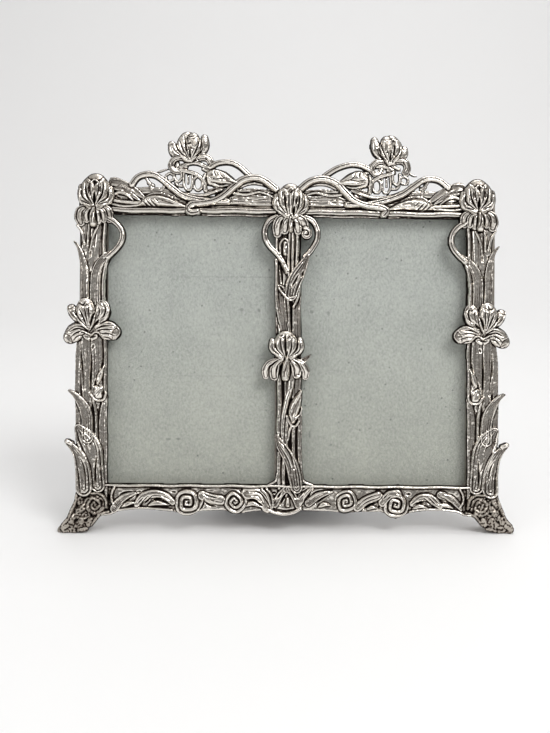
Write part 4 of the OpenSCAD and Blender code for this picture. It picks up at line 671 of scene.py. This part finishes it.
BOTTOM_RAIL = [
    (cord, [-79, 19.8, -40, 19.8, 0, 19.8, 40, 19.8, 79, 19.8], 0.65, 1.2, 1.8),
    (cord, [-74.4, 19.4, -75.8, 16.6, -75.7, 13.4, -74.4, 11.4], 0.6, 1, 1.8),
    (cord, [-80, 7.4, -76.4, 8, -72.6, 9.6, -66, 10.2, -56, 10.2, -49.8, 9.6], 0.55, 0.9, 1.6),
    *grooves(0.7, 1, [-78, 17, -77.2, 14.6, -77, 12]),
    (leaf, [-74.6, 10.2, -72, 13.6, -69, 15.4, -65.2, 16.4], 1.7, 1.2, 2, LONG),
    *grooves(0.4, 1, [-72.6, 15.9, -70.4, 16.8, -67, 17.3]),
    *grooves(0.55, 1.5, [-71.4, 12.3, -68.6, 14.1, -65.4, 15.8]),
    (bud, [-71.4, 11, -68.8, 12.2, -65.4, 12.6], 1.1, 1.2, 1.9, BUD),
    (panel, [-65.2, 11.6, -63, 14.2, -59.4, 16, -55.6, 16.4, -52.4, 15.2, -49.6, 12.8],
        1.6, 1.3, 2.1, (0.7, 1.2, 1.1, 1, 0.8)),
    *grooves(0.35, 1, [-64.8, 12, -62, 14.8], [-63.6, 11.8, -60, 15.4]),
    *grooves(0.4, 1, [-62, 12, -58, 15.8]),
    *grooves(0.35, 0.8, [-55, 16.2, -52, 14.8, -50.2, 13]),
    *grooves(0.5, 1.5, [-58.8, 12.9, -56.6, 14.3, -53.6, 14.3]),
    (bud, [-60, 11.5, -56.4, 12.7, -51, 11.8], 1.2, 1.2, 2, BUD),
    *grooves(0.45, 0.9, [-64.8, 17, -63, 17.1]),
    *grooves(0.4, 0.9, [-50.6, 17.3, -48, 17]),
    (panel, [-37, 15.8, -33, 14.4, -29, 13.8], 2.1, 1.1, 1.9),
    *grooves(0.45, 1.2, [-36.8, 17, -34.4, 15.8, -30.4, 14.7]),
    *grooves(0.5, 1.2, [-36.6, 14.2, -34.4, 12, -30.8, 11]),
    *ridges(0.45, 0.5, [-35.6, 14.6, -33, 13.4, -30.4, 12.8]),
    *grooves(0.3, 0.5, [-35, 18, -28.6, 18.2]),
    *grooves(0.5, 1.2, [-36.2, 14.6, -36.6, 12, -38, 9.6]),
    (panel, [-17.6, 16.8, -13.6, 16.6, -10.6, 14, -8.6, 10.8], 2.6, 1.2, 2),
    *grooves(0.6, 1.5, [-18.2, 13.7, -15.6, 14.1, -13, 12.8, -10.4, 11.1]),
    (bud, [-18, 11.6, -15.2, 12.6, -11, 10.8], 1.1, 1.2, 1.9, BUD),
    *grooves(0.4, 1, [-16.6, 17.6, -12.6, 17.2, -9.9, 14.2, -8.2, 11.4]),
    *grooves(0.35, 0.8, [-16, 16, -13, 15.7, -10.8, 13]),
    (cord, [-11.4, 18.6, -9, 15.8, -7.6, 12], 0.7, 1.4, 2),
    (cord, [-9.4, 18.8, -7.2, 16, -6.4, 12], 0.6, 1.4, 2),
    *grooves(0.6, 1.2, [-6.8, 17, -5.4, 17]),
    (leaf, [-0.8, 18.7, -3.6, 16.2, -5.6, 12], 1.3, 1.4, 2),
    (leaf, [0.2, 18.7, 2.2, 16.2, 4, 12], 1.2, 1.4, 2),
    *grooves(0.5, 1.3, [-3, 17.6, -4.8, 14.6]),
    *grooves(0.5, 1.6, [-0.8, 17.4, -2.2, 15, -3.4, 11.8]),
    *grooves(0.45, 1.5, [-0.2, 16.6, 0.7, 13.2]),
    *grooves(0.5, 1.5, [0.8, 18.6, 2.2, 16.8, 3.4, 14.6]),
    (bud, [-0.3, 14.6, -0.3, 11.8], 0.9, 1.3, 1.8),
    (panel, [4.4, 11.6, 6.4, 15.8, 9.6, 19], 1.6, 1.2, 1.9),
    *grooves(0.45, 1.2, [4.4, 14.6, 6, 17.2, 8.8, 19]),
    *ridges(0.5, 0.6, [6, 14.6, 8.2, 17.6, 10.2, 19.6]),
    *grooves(0.45, 1.3, [8.2, 13, 9.1, 16, 10.6, 18.6]),
    (leaf, [8.6, 12.6, 12, 15.2, 15.4, 16.8, 19, 17.8], 1.5, 1.3, 2, LONG),
    *grooves(0.55, 1.5, [11.6, 12.5, 14.8, 14.9, 18, 16.7]),
    *grooves(0.35, 0.9, [10.4, 16.5, 13, 17.6, 17.6, 18.6]),
    (bud, [13, 11.2, 15.6, 12.4, 18.4, 11.8], 1.1, 1.1, 1.8, BUD),
    *grooves(0.45, 1, [5, 10.9, 7.2, 13.2]),
    (panel, [30, 11, 33.6, 14, 39, 16.2], 1.9, 1.2, 2),
    *grooves(0.35, 0.8, [30.8, 12.8, 34, 15, 38.4, 16.8], [31.6, 12, 35, 14, 39, 15.2]),
    *grooves(0.6, 1.5, [32.6, 10.4, 35.4, 12.5, 38.8, 13.2]),
    (bud, [34, 10.4, 36.4, 11.3, 38.8, 10.8], 0.9, 1.1, 1.8, BUD),
    *grooves(0.5, 1.2, [39.1, 13.4, 39.3, 9.8]),
    (panel, [40.6, 13, 43.6, 16.2, 47.4, 17], 1.8, 1.3, 2),
    *grooves(0.35, 0.9, [41, 14.6, 43.4, 17], [42.2, 14, 44.8, 16.6]),
    *grooves(0.4, 1, [46.8, 17.2, 48.4, 17.1]),
    *grooves(0.6, 1.3, [51.2, 16.8, 53, 16.9]),
    (panel, [53.6, 12.8, 56.6, 15.2, 60, 15.4, 63.4, 13.6, 65.8, 11.4],
        1.6, 1.3, 2.1, (0.8, 1, 1.1, 1.2, 0.7)),
    *grooves(0.4, 1, [58.4, 15.4, 62.4, 11.8]),
    *grooves(0.35, 1, [60.2, 15.8, 64.2, 11.8], [61.8, 15.8, 65.4, 12.4]),
    *grooves(0.5, 1.4, [53.8, 12.2, 56.4, 13.4, 59.2, 12.8]),
    (bud, [54, 10.8, 57.2, 11.7, 60.8, 10.6], 1.1, 1.2, 1.9, BUD),
    (leaf, [65.8, 16.4, 69.6, 15.4, 72.4, 13.4, 74.8, 10.2], 1.6, 1.2, 2, TAPER),
    *grooves(0.5, 1.4, [65.8, 15.6, 69, 14, 71.6, 12.2]),
    *grooves(0.4, 1, [66.8, 17.2, 70.4, 16.8, 72.8, 15.8]),
    (bud, [65.6, 12.4, 69, 12, 71.6, 10.8], 1.1, 1.2, 1.9, BUD),
    (cord, [74.4, 19.4, 75.8, 16.6, 75.7, 13.4, 74.4, 11.4], 0.6, 1, 1.8),
    *grooves(0.7, 1, [78, 17, 77.2, 14.6, 77, 12]),
    (cord, [80, 7.4, 76.4, 8, 72.6, 9.6, 66, 10.2, 56, 10, 52.8, 9.4], 0.55, 0.9, 1.6),
    (cord, [-9.4, 10.4, -6.4, 8.9, -2, 8.2, 2.4, 8.9, 5.2, 10.4], 0.9, 1, 2),
    *grooves(0.35, 0.6, [-8, 10.9, -4, 9.9, 0, 9.8, 4, 10.8]),
]

FOOT_OUTLINE = [-90.2, 21, -90.6, 15.6, -92, 12, -93.6, 9, -94.9, 6, -96.4, 4.2, -97.9, 2.5, -98.1, 1,
    -96.6, -0.3, -92.4, -0.3, -88, 0.8, -85, 2.2, -83.4, 3.5, -82, 5.6, -80, 7, -77.4, 8, -77.4, 21]

FOOT = [
    (cord, [-90, 18, -91, 13.6, -93, 9.4, -94.4, 6, -96.8, 3], 0.8, 1, 1.6),
    (cord, [-77, 8.8, -80.4, 7.6, -82.6, 5.4, -84.4, 3.4], 0.7, 1, 1.8),
    (cord, [-84.6, 16.6, -81, 16.2, -78.4, 14.2, -77.7, 10.6], 0.7, 1.6, 2.1),
    (bud, [-84.6, 5.6, -85.4, 3.8], 1.2, 1.2, 2.1),
    (bud, [-88.4, 5.4, -90, 3.6], 1.6, 1.1, 1.75),
    (bud, [-92, 7, -93, 5], 1.3, 1.1, 1.7),
    (bud, [-88.4, 10.6, -89.8, 8.8], 1.7, 1.1, 1.8),
    (bud, [-89, 15, -89.6, 12.8], 1.4, 1.1, 1.8),
    (bud, [-94.6, 3.2, -96.6, 1.8], 1.1, 1.1, 1.7),
    (bud, [-86.6, 1.8, -89.6, 1.2], 0.9, 1.1, 1.6),
]


def casting_mesh(name, relief, shift=0.0, contrast=1.0):
    """Closed mesh of a relief. Lattice places inside the outline keep their place, and those next to it
    move down the slope of the gap onto the outline. The front stands at the height and the back is
    flat, and a wall joins them along the outline. Its patina is the hollow at that place, with the
    difference from the worn level scaled by the contrast, and with the shift added."""
    gap = relief.gap
    metal = gap < 0
    weight = np.maximum(blur(metal.astype(float), SOFTEN), 1e-6)
    rise = blur(relief.rise * metal, SOFTEN) / weight
    rise = np.where(metal, rise, EDGE_T + EDGE_SHARE * np.clip(rise - EDGE_T, 0, EDGE_CAP))
    rise = np.clip(rise, EDGE_T, FRONT_LIMIT[:, None])
    cells = metal[:-1, :-1] | metal[1:, :-1] | metal[:-1, 1:] | metal[1:, 1:]
    slope_z, slope_x = np.gradient(gap, CELL)
    steep = np.maximum(np.hypot(slope_x, slope_z), 0.5)
    out = np.clip(gap, 0, EDGE_MOVE) / steep ** 2
    x = GRID_X[None, :] - out * slope_x
    z = GRID_Z[:, None] - out * slope_z
    index = np.arange(ROWS * COLS).reshape(ROWS, COLS)
    corner = [index[:-1, :-1], index[:-1, 1:], index[1:, 1:], index[1:, :-1]]
    front = np.stack([c[cells] for c in corner], -1)
    shell = ROWS * COLS
    rear = front[:, ::-1] + shell
    closed = np.pad(cells, 1)
    walls = []
    for k, (dr, dc) in enumerate([(-1, 0), (0, 1), (1, 0), (0, -1)]):
        open_side = cells & ~closed[1 + dr:ROWS + dr, 1 + dc:COLS + dc]
        a, b = corner[k][open_side], corner[(k + 1) % 4][open_side]
        walls.append(np.stack([b, a, a + shell, b + shell], -1))
    faces = np.vstack([front, rear, *walls])
    used, faces = np.unique(faces, return_inverse=True)
    faces = faces.reshape(-1, 4)
    place = used % shell
    y = np.where(used < shell, -rise.ravel()[place], 0)
    points = stand(x.ravel()[place], y, z.ravel()[place])
    points[:, 2] = np.maximum(points[:, 2], 0)
    piece = quad_piece(name, points, faces)
    patina_level = WORN_PATINA + shift + contrast * (hollow.ravel()[place] - WORN_PATINA)
    patina = piece.data.attributes.new("patina", "FLOAT", "POINT")
    patina.data.foreach_set("value", np.where(used < shell, patina_level, BACK_PATINA).astype(np.float32))
    return piece


def quad_piece(name, points, faces):
    """A smooth mesh object from arrays of places in metres and of four corners a face."""
    mesh = bpy.data.meshes.new(name)
    mesh.vertices.add(len(points))
    mesh.vertices.foreach_set("co", np.ascontiguousarray(points, np.float32).ravel())
    mesh.loops.add(faces.size)
    mesh.loops.foreach_set("vertex_index", faces.astype(np.int32).ravel())
    mesh.polygons.add(len(faces))
    mesh.polygons.foreach_set("loop_start", np.arange(0, faces.size, 4, dtype=np.int32))
    mesh.update(calc_edges=True)
    mesh.polygons.foreach_set("use_smooth", np.full(len(faces), True))
    piece = bpy.data.objects.new(name, mesh)
    bpy.context.scene.collection.objects.link(piece)
    return piece


# The cast pieces

STILE_BED = [-77.4, 12, -89.5, 12, -90.9, 26, -90.9, 52, -91.1, 66, -90.2, 82, -88.8, 92, -88.6, 120,
    -89.4, 130, -89.4, 146, -77.4, 146]
CREST_BED = [-3, 136.6, -3, 144, -78, 145, -78, 136.6]
MULLION_BED = [-5, 16, 6.2, 16, 5.8, 137, -5.2, 137]
RAIL_BED = [-79, 20.6, -79, 9, -75, 8.8, -70, 9.6, -60, 9.8, -50, 9, -44, 7.4, -37, 9.4, -28, 9.4, -22, 8,
    -16, 9.2, -9, 9.4, -2, 7.4, 5, 9.4, 18, 9.4, 25, 8.4, 33, 9.2, 40, 9.2, 46.5, 6, 53, 9, 62, 9.6,
    70, 9.6, 75, 8.8, 79, 9, 79, 20.6]
RELIEFS = {
    "left_cresting": draw(LEFT_CREST, CREST_BED, top=1.2),
    "right_cresting": draw(RIGHT_CREST, mirror(CREST_BED), top=1.2),
    "left_finial": draw(LEFT_FINIAL),
    "right_finial": draw(RIGHT_FINIAL),
    "left_corner_blossom": draw(CORNER_BLOSSOM),
    "right_corner_blossom": draw(flip(CORNER_BLOSSOM)),
    "crown_blossom": draw(CROWN_BLOSSOM),
    "left_stile_blossom": draw(STILE_BLOSSOM),
    "right_stile_blossom": draw(flip(STILE_BLOSSOM)),
    "mullion_blossom": draw(MULLION_BLOSSOM),
    "left_stile_foliage": draw(STILE_FOLIAGE, STILE_BED, top=1.3),
    "right_stile_foliage": draw(flip(STILE_FOLIAGE), mirror(STILE_BED), top=1.3),
    "mullion_foliage": draw(MULLION_FOLIAGE, MULLION_BED, top=1.1),
    "bottom_rail_foliage": draw(BOTTOM_RAIL, RAIL_BED, top=1.5),
    "left_knee_rose": draw(FOOT, FOOT_OUTLINE, top=1.5, grain=FOOT_GRAIN),
    "right_knee_rose": draw(flip(FOOT), mirror(FOOT_OUTLINE), top=1.5, grain=FOOT_GRAIN),
}

# Roses: piece, x, z and radius in grid units, lift and height in millimetres, turn
for name, *rose in (("left_knee_rose", -83, 11.6, 4.9, 1.4, 1.6, -0.3),
                    ("right_knee_rose", 83, 11.6, 4.9, 1.4, 1.6, 0.3),
                    ("bottom_rail_foliage", -43.3, 12.9, 5.9, 1, 2.6, 0.1),
                    ("bottom_rail_foliage", -23, 13.2, 5.2, 1, 2.6, 0.45),
                    ("bottom_rail_foliage", 25, 13.3, 5.2, 1, 2.6, 0.7),
                    ("bottom_rail_foliage", 46.4, 12.2, 5.9, 1, 2.6, 0.2)):
    RELIEFS[name].rose(*rose)

# The cast skin is grainy, most of all on the feet. Two noise fields, one fine and one lumpy, each with
# its seed and the radius it is blurred with
SKIN_NOISE = ((11, 0.3), (12, 1.1))
fine, lumpy = (blur(np.random.default_rng(seed).standard_normal((ROWS, COLS)), radius)
               for seed, radius in SKIN_NOISE)
for relief in RELIEFS.values():
    relief.rise += relief.grain * (fine / fine.std() + LUMPS * lumpy / lumpy.std()) * (relief.gap < 0)

# Patina lies where the relief is lower than the metal around it. The hollows hold the most of it, and
# the blossoms, which stand out furthest, a little more than the leaves
top = np.max([np.where(r.gap < 0, r.rise, 0) for r in RELIEFS.values()], axis=0)
solid = (np.min([r.gap for r in RELIEFS.values()], axis=0) < 0).astype(float)
dip = blur(top, AROUND) / np.maximum(blur(solid, AROUND), 0.05) - top
hollow = FLAT_PATINA + PER_DIP * dip + PER_HOLLOW * np.maximum(dip, 0) + PER_HEIGHT * (top - FLAT_HEIGHT)
hollow = np.clip(hollow, 0, 1)


# Materials

def colour(code):
    """An sRGB hex colour as linear red, green, blue and alpha, by the sRGB curve."""
    rgb = [int(code[i:i + 2], 16) / 255 for i in (1, 3, 5)]
    return [c / 12.92 if c <= 0.04045 else ((c + 0.055) / 1.055) ** 2.4 for c in rgb] + [1]


class Finish:
    """A material or world made of nodes. add() puts in a node: inputs are its sockets, by name or number,
    settings are its properties, and a socket given another node's output is linked to it. Sizes of
    noise and depths of bumps are in millimetres."""

    def __init__(self, name, kind="materials", place="Object"):
        self.data = getattr(bpy.data, kind).new(name)
        self.data.use_nodes = True
        self.tree = self.data.node_tree
        self.tree.nodes.clear()
        self.place = self.add("TexCoord").outputs[place]

    def add(self, kind, inputs=None, **settings):
        node = self.tree.nodes.new("ShaderNode" + kind)
        for key, value in settings.items():
            setattr(node, key, value)
        for key, value in (inputs or {}).items():
            if isinstance(value, bpy.types.NodeSocket):
                self.tree.links.new(value, node.inputs[key])
            else:
                node.inputs[key].default_value = value
        return node

    def noise(self, size, detail, place=None, **more):
        """Soft noise, with blots about as wide as the size."""
        inputs = {"Vector": place or self.place, "Scale": 1 / (size * MM), "Detail": detail, **more}
        return self.add("TexNoise", inputs).outputs["Fac"]

    def math(self, operation, *values):
        return self.add("Math", dict(enumerate(values)), operation=operation).outputs[0]

    def spread(self, *values):
        """Map range: the value, its low and high end, and what comes out there."""
        return self.add("MapRange", dict(enumerate(values))).outputs[0]

    def stretch(self, **inputs):
        """Places that are scaled, turned and moved."""
        return self.add("Mapping", {"Vector": self.place, **inputs}).outputs[0]

    def mix(self, factor, under, over, blend="MIX"):
        return self.add("Mix", {0: factor, 6: under, 7: over}, data_type="RGBA", blend_type=blend).outputs[2]

    def ramp(self, factor, *stops):
        """Colours along a factor. A stop is its place and an sRGB hex colour, or linear parts."""
        node = self.add("ValToRGB", {"Fac": factor})
        while len(node.color_ramp.elements) < len(stops):
            node.color_ramp.elements.new(0.5)
        for element, (at, value) in zip(node.color_ramp.elements, stops):
            element.position = at
            element.color = colour(value) if isinstance(value, str) else (*value, 1)
        return node.outputs["Color"]

    def bump(self, height, strength, distance):
        inputs = {"Height": height, "Strength": strength, "Distance": distance * MM}
        return self.add("Bump", inputs).outputs["Normal"]

    def finish(self, inputs, shader="BsdfPrincipled", output="OutputMaterial"):
        self.add(output, {"Surface": self.add(shader, inputs).outputs[0]})
        return self.data


def antiqued_silver(name, patina=None):
    """Silver plate on a white metal casting, antiqued and rubbed back: bright worn highs, brown-black
    recesses and a faintly pitted cast skin. A relief carries its own patina, a plain part has one level."""
    f = Finish(name)
    if patina is None:
        patina = f.add("Attribute", attribute_name="patina").outputs["Fac"]
    cloud = f.noise(4, 4.0)
    speck = f.noise(0.9, 3.0)
    cloudy = f.math("MULTIPLY_ADD", cloud, 0.36, patina)
    mottled = f.math("MULTIPLY_ADD", speck, 0.2, cloudy)
    worn = f.math("SUBTRACT", mottled, 0.28)
    base = f.ramp(worn, (0.1, "#EDE8E0"), (0.36, "#B8B1A7"), (0.56, "#655A52"), (0.76, "#201A18"))
    rough = f.spread(worn, 0.1, 0.9, 0.16, 0.6)
    return f.finish({"Base Color": base, "Metallic": 1.0, "Roughness": rough,
                     "Normal": f.bump(speck, 0.22, 0.1)})


# Painted shade of the dents and creases in the board: x and z in grid units, width and height in
# millimetres. The wide ones are creases
BOARD_MARKS = ((-20.1, 95.5, 1, 1), (-12.5, 95.2, 1, 1), (10.4, 94.7, 1, 1), (17.8, 94.2, 1, 1),
               (-51.4, 39, 1.6, 0.6), (-47.1, 39.1, 1.6, 0.6), (9.8, 41, 0.5, 2.4), (-35, 66.5, 24, 0.3),
               (-20, 109.6, 34, 0.35))
# Marks at least this wide are creases; the other two say how far a dent and a crease are darkened, as
# painted shade
WIDE, DENT_SHADE, CREASE_SHADE = 9, 0.55, 0.22


def grey_board():
    """Recycled grey board, pressed and unprinted: long pale and dark fibres, a few dark flecks, and painted
    shade in the dents of prongs and along two creases. It is a little browner low down."""
    f = Finish("grey recycled board")
    cloud = f.noise(20, 5.0)
    fibre = f.noise(0.8, 4.0, f.stretch(Rotation=(0, 0.5, 0), Scale=(1, 1, 0.6)), Roughness=0.7)
    cells = f.add("TexVoronoi", {"Vector": f.place, "Scale": 1 / (6 * MM), "Randomness": 1.0})
    fleck = cells.outputs["Distance"]
    flecks_and_shade = f.ramp(fleck, (0.0, "#FFFFFF"), (0.05, "#FFFFFF"), (0.08, "#000000"), (1.0, "#000000"))
    mixed = f.math("MULTIPLY_ADD", fibre, 1.2, f.math("MULTIPLY", cloud, 0.4))
    tone = f.ramp(mixed, (0.5, "#8B8F89"), (0.75, "#A3A7A1"), (1.0, "#B6B9B2"))
    # Each dent and crease is darkened as painted shade, fully in its middle and fading out to its edge
    for x, z, wide, high in BOARD_MARKS:
        spot = f.stretch(Scale=(1 / (wide * MM), 0, 1 / (high * MM)),
                         Location=(-x * UNIT / wide, 0, -z * UNIT * math.cos(LEAN) / high))
        off = f.add("VectorMath", {0: spot}, operation="LENGTH").outputs["Value"]
        dent_shade = f.spread(off, 0.5, 1.0, DENT_SHADE if wide < WIDE else CREASE_SHADE, 0.0)
        flecks_and_shade = f.math("MAXIMUM", flecks_and_shade, dent_shade)
    height = f.add("SeparateXYZ", {"Vector": f.place}).outputs["Z"]
    # Browner and a little darker towards the bottom
    towards_bottom = f.spread(height, 15 * MM, 110 * MM, 1.0, 0.0)
    plain = f.mix(1.0, tone, f.ramp(towards_bottom, (0.0, "#FFFFFF"), (1.0, (0.9, 0.875, 0.81))), "MULTIPLY")
    # The dark flecks, and the painted shade of the dents and creases, go towards a dark grey
    base = f.mix(flecks_and_shade, plain, colour("#5F625E"))
    return f.finish({"Base Color": base, "Roughness": 0.9, "Normal": f.bump(fibre, 0.3, 0.1)})


def clear_glass():
    """Float glass: nearly clear, with a smooth skin."""
    f = Finish("clear float glass")
    return f.finish({"Base Color": colour("#F4FAF8"), "Roughness": 0.02, "Alpha": 0.06})


def navy_velour():
    """Flocked velour: a short dark pile with a pale sheen and the marks of handling."""
    f = Finish("dark flocked velour")
    pile = f.noise(0.5, 2.0)
    brushed = f.noise(25, 3.0)
    base = f.ramp(f.math("MULTIPLY_ADD", pile, 0.5, brushed), (0.5, "#14161F"), (1.0, "#2B2F3E"))
    return f.finish({"Base Color": base, "Roughness": 0.95, "Sheen Weight": 0.5,
                     "Normal": f.bump(pile, 0.6, 0.3)})


def zinc_steel():
    """Stamped steel with bright zinc plate: fine brushed lines and dull spots."""
    f = Finish("zinc plated steel")
    line = f.noise(0.4, 3.0, f.stretch(Scale=(0.1, 1, 1)))
    base = f.ramp(f.noise(4, 4.0), (0.3, "#A9AAA6"), (0.7, "#CDCECA"))
    rough = f.spread(line, 0.0, 1.0, 0.26, 0.42)
    return f.finish({"Base Color": base, "Metallic": 1.0, "Roughness": rough,
                     "Normal": f.bump(line, 0.2, 0.05)})


def brown_board():
    """Brown millboard in the leg, seen at its cut end."""
    f = Finish("brown millboard")
    base = f.ramp(f.noise(1, 4.0), (0.3, "#7A6248"), (0.7, "#9B8160"))
    return f.finish({"Base Color": base, "Roughness": 0.9})


silver = antiqued_silver("antiqued silver on white metal")
finishes = {"casting": antiqued_silver("dull silver on white metal", BACK_PATINA),
            "greyboard": grey_board(), "glass": clear_glass(), "velour": navy_velour(),
            "steel": zinc_steel(), "leg_core": brown_board()}
slot_of = {s["node"]: s["material_slot"] for s in frame["record"]["subparts"]}
for node, piece in frame["nodes"].items():
    piece.data.materials.clear()
    piece.data.materials.append(finishes[slot_of[node]])

# Shift and contrast of the patina: the stiles are lighter than the rest, the corner blossoms are darker,
# and the rough feet are darker and more even
PATINA_SHIFT = {"left_stile_foliage": (-0.13, 1.0), "right_stile_foliage": (-0.13, 1.0),
        "left_corner_blossom": (0.08, 1.0), "right_corner_blossom": (0.08, 1.0),
        "left_knee_rose": (0.19, 0.4), "right_knee_rose": (0.19, 0.4)}
for name, relief in RELIEFS.items():
    piece = casting_mesh("cast_" + name, relief, *PATINA_SHIFT.get(name, ()))
    piece.data.materials.append(silver)
    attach(piece, "frame")
    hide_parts(name)


# Floor, light and camera

def backdrop():
    """Pale floor that sweeps up behind: flat as far as the bend, a quarter circle, then upright. The grid
    has one row for every step along that profile and a column at each side. In metres."""
    reach, radius = 4.0, 0.6
    bend = np.linspace(0, math.pi / 2, 25)
    along = np.concatenate([[-reach], radius + radius * np.sin(bend), [2 * radius]])
    up = np.concatenate([[0], radius - radius * np.cos(bend), [reach]])
    rows = len(along)
    points = np.stack([np.tile([-reach, reach], rows), np.repeat(along, 2), np.repeat(up, 2)], axis=1)
    start = 2 * np.arange(rows - 1)[:, None]
    floor = quad_piece("floor", points, start + [[0, 1, 3, 2]])
    f = Finish("matt white table")
    floor.data.materials.append(f.finish({"Base Color": colour("#F1F1F1"), "Roughness": 0.6}))


def soft_light(name, place, target, size, power):
    """A round lamp turned to its target. Places and size in metres, power in watts."""
    light = bpy.data.lights.new(name, "AREA")
    light.shape = "DISK"
    light.size = size
    light.energy = power
    lamp = bpy.data.objects.new(name, light)
    lamp.location = place
    x, y, z = np.array(target) - np.array(place)
    lamp.rotation_euler = (math.atan2(math.hypot(x, y), -z), 0, math.atan2(-x, y))
    bpy.context.scene.collection.objects.link(lamp)


backdrop()
soft_light("window_light", (0.55, -0.75, 1.05), (0, 0, 0.08), 0.7, 9.1)
soft_light("fill_light", (-0.9, -0.7, 0.5), (0, 0, 0.08), 0.6, 1.8)
soft_light("rear_light", (0.2, 0.3, 1.3), (0, 0.4, 0.1), 0.8, 4.6)

# The room: pale overhead, and dim behind the camera, which is what gives the metal its dark tones
room = Finish("studio", "worlds", "Generated")
height = room.add("SeparateXYZ", {"Vector": room.place}).outputs["Z"]
glow = room.ramp(height, (0.0, (0.15, 0.145, 0.14)), (0.3, (0.25, 0.245, 0.24)), (0.6, (0.58, 0.57, 0.56)),
                 (1.0, (0.76, 0.75, 0.74)))
bpy.context.scene.world = room.finish({"Color": glow}, "Background", "OutputWorld")

# The camera, fitted to the photo: its angles, its distance and what it looks at in millimetres
PITCH, YAW, ROLL = math.radians(12.1), math.radians(1.5), math.radians(0.66)
DISTANCE = 457.6
AIM_X, AIM_Z = -5.84, 76.13
FILM, LENS, NEAREST = 36, 49.1, 10
camera = bpy.data.objects.new("camera", bpy.data.cameras.new("camera"))
camera.data.sensor_fit = "VERTICAL"
camera.data.sensor_height = FILM
camera.data.lens = LENS
camera.data.clip_start = NEAREST * MM
away = np.array([-math.sin(YAW), -math.cos(YAW) * math.cos(PITCH), math.cos(YAW) * math.sin(PITCH)])
camera.location = stand(AIM_X, 0, AIM_Z) + DISTANCE * MM * away
camera.rotation_mode = "QUATERNION"
turn = Vector(-away).to_track_quat("-Z", "Y").to_matrix() @ Matrix.Rotation(ROLL, 3, "Z")
camera.rotation_quaternion = turn.to_quaternion()
bpy.context.scene.collection.objects.link(camera)
bpy.context.scene.camera = camera
bpy.context.scene.view_settings.view_transform = "Standard"
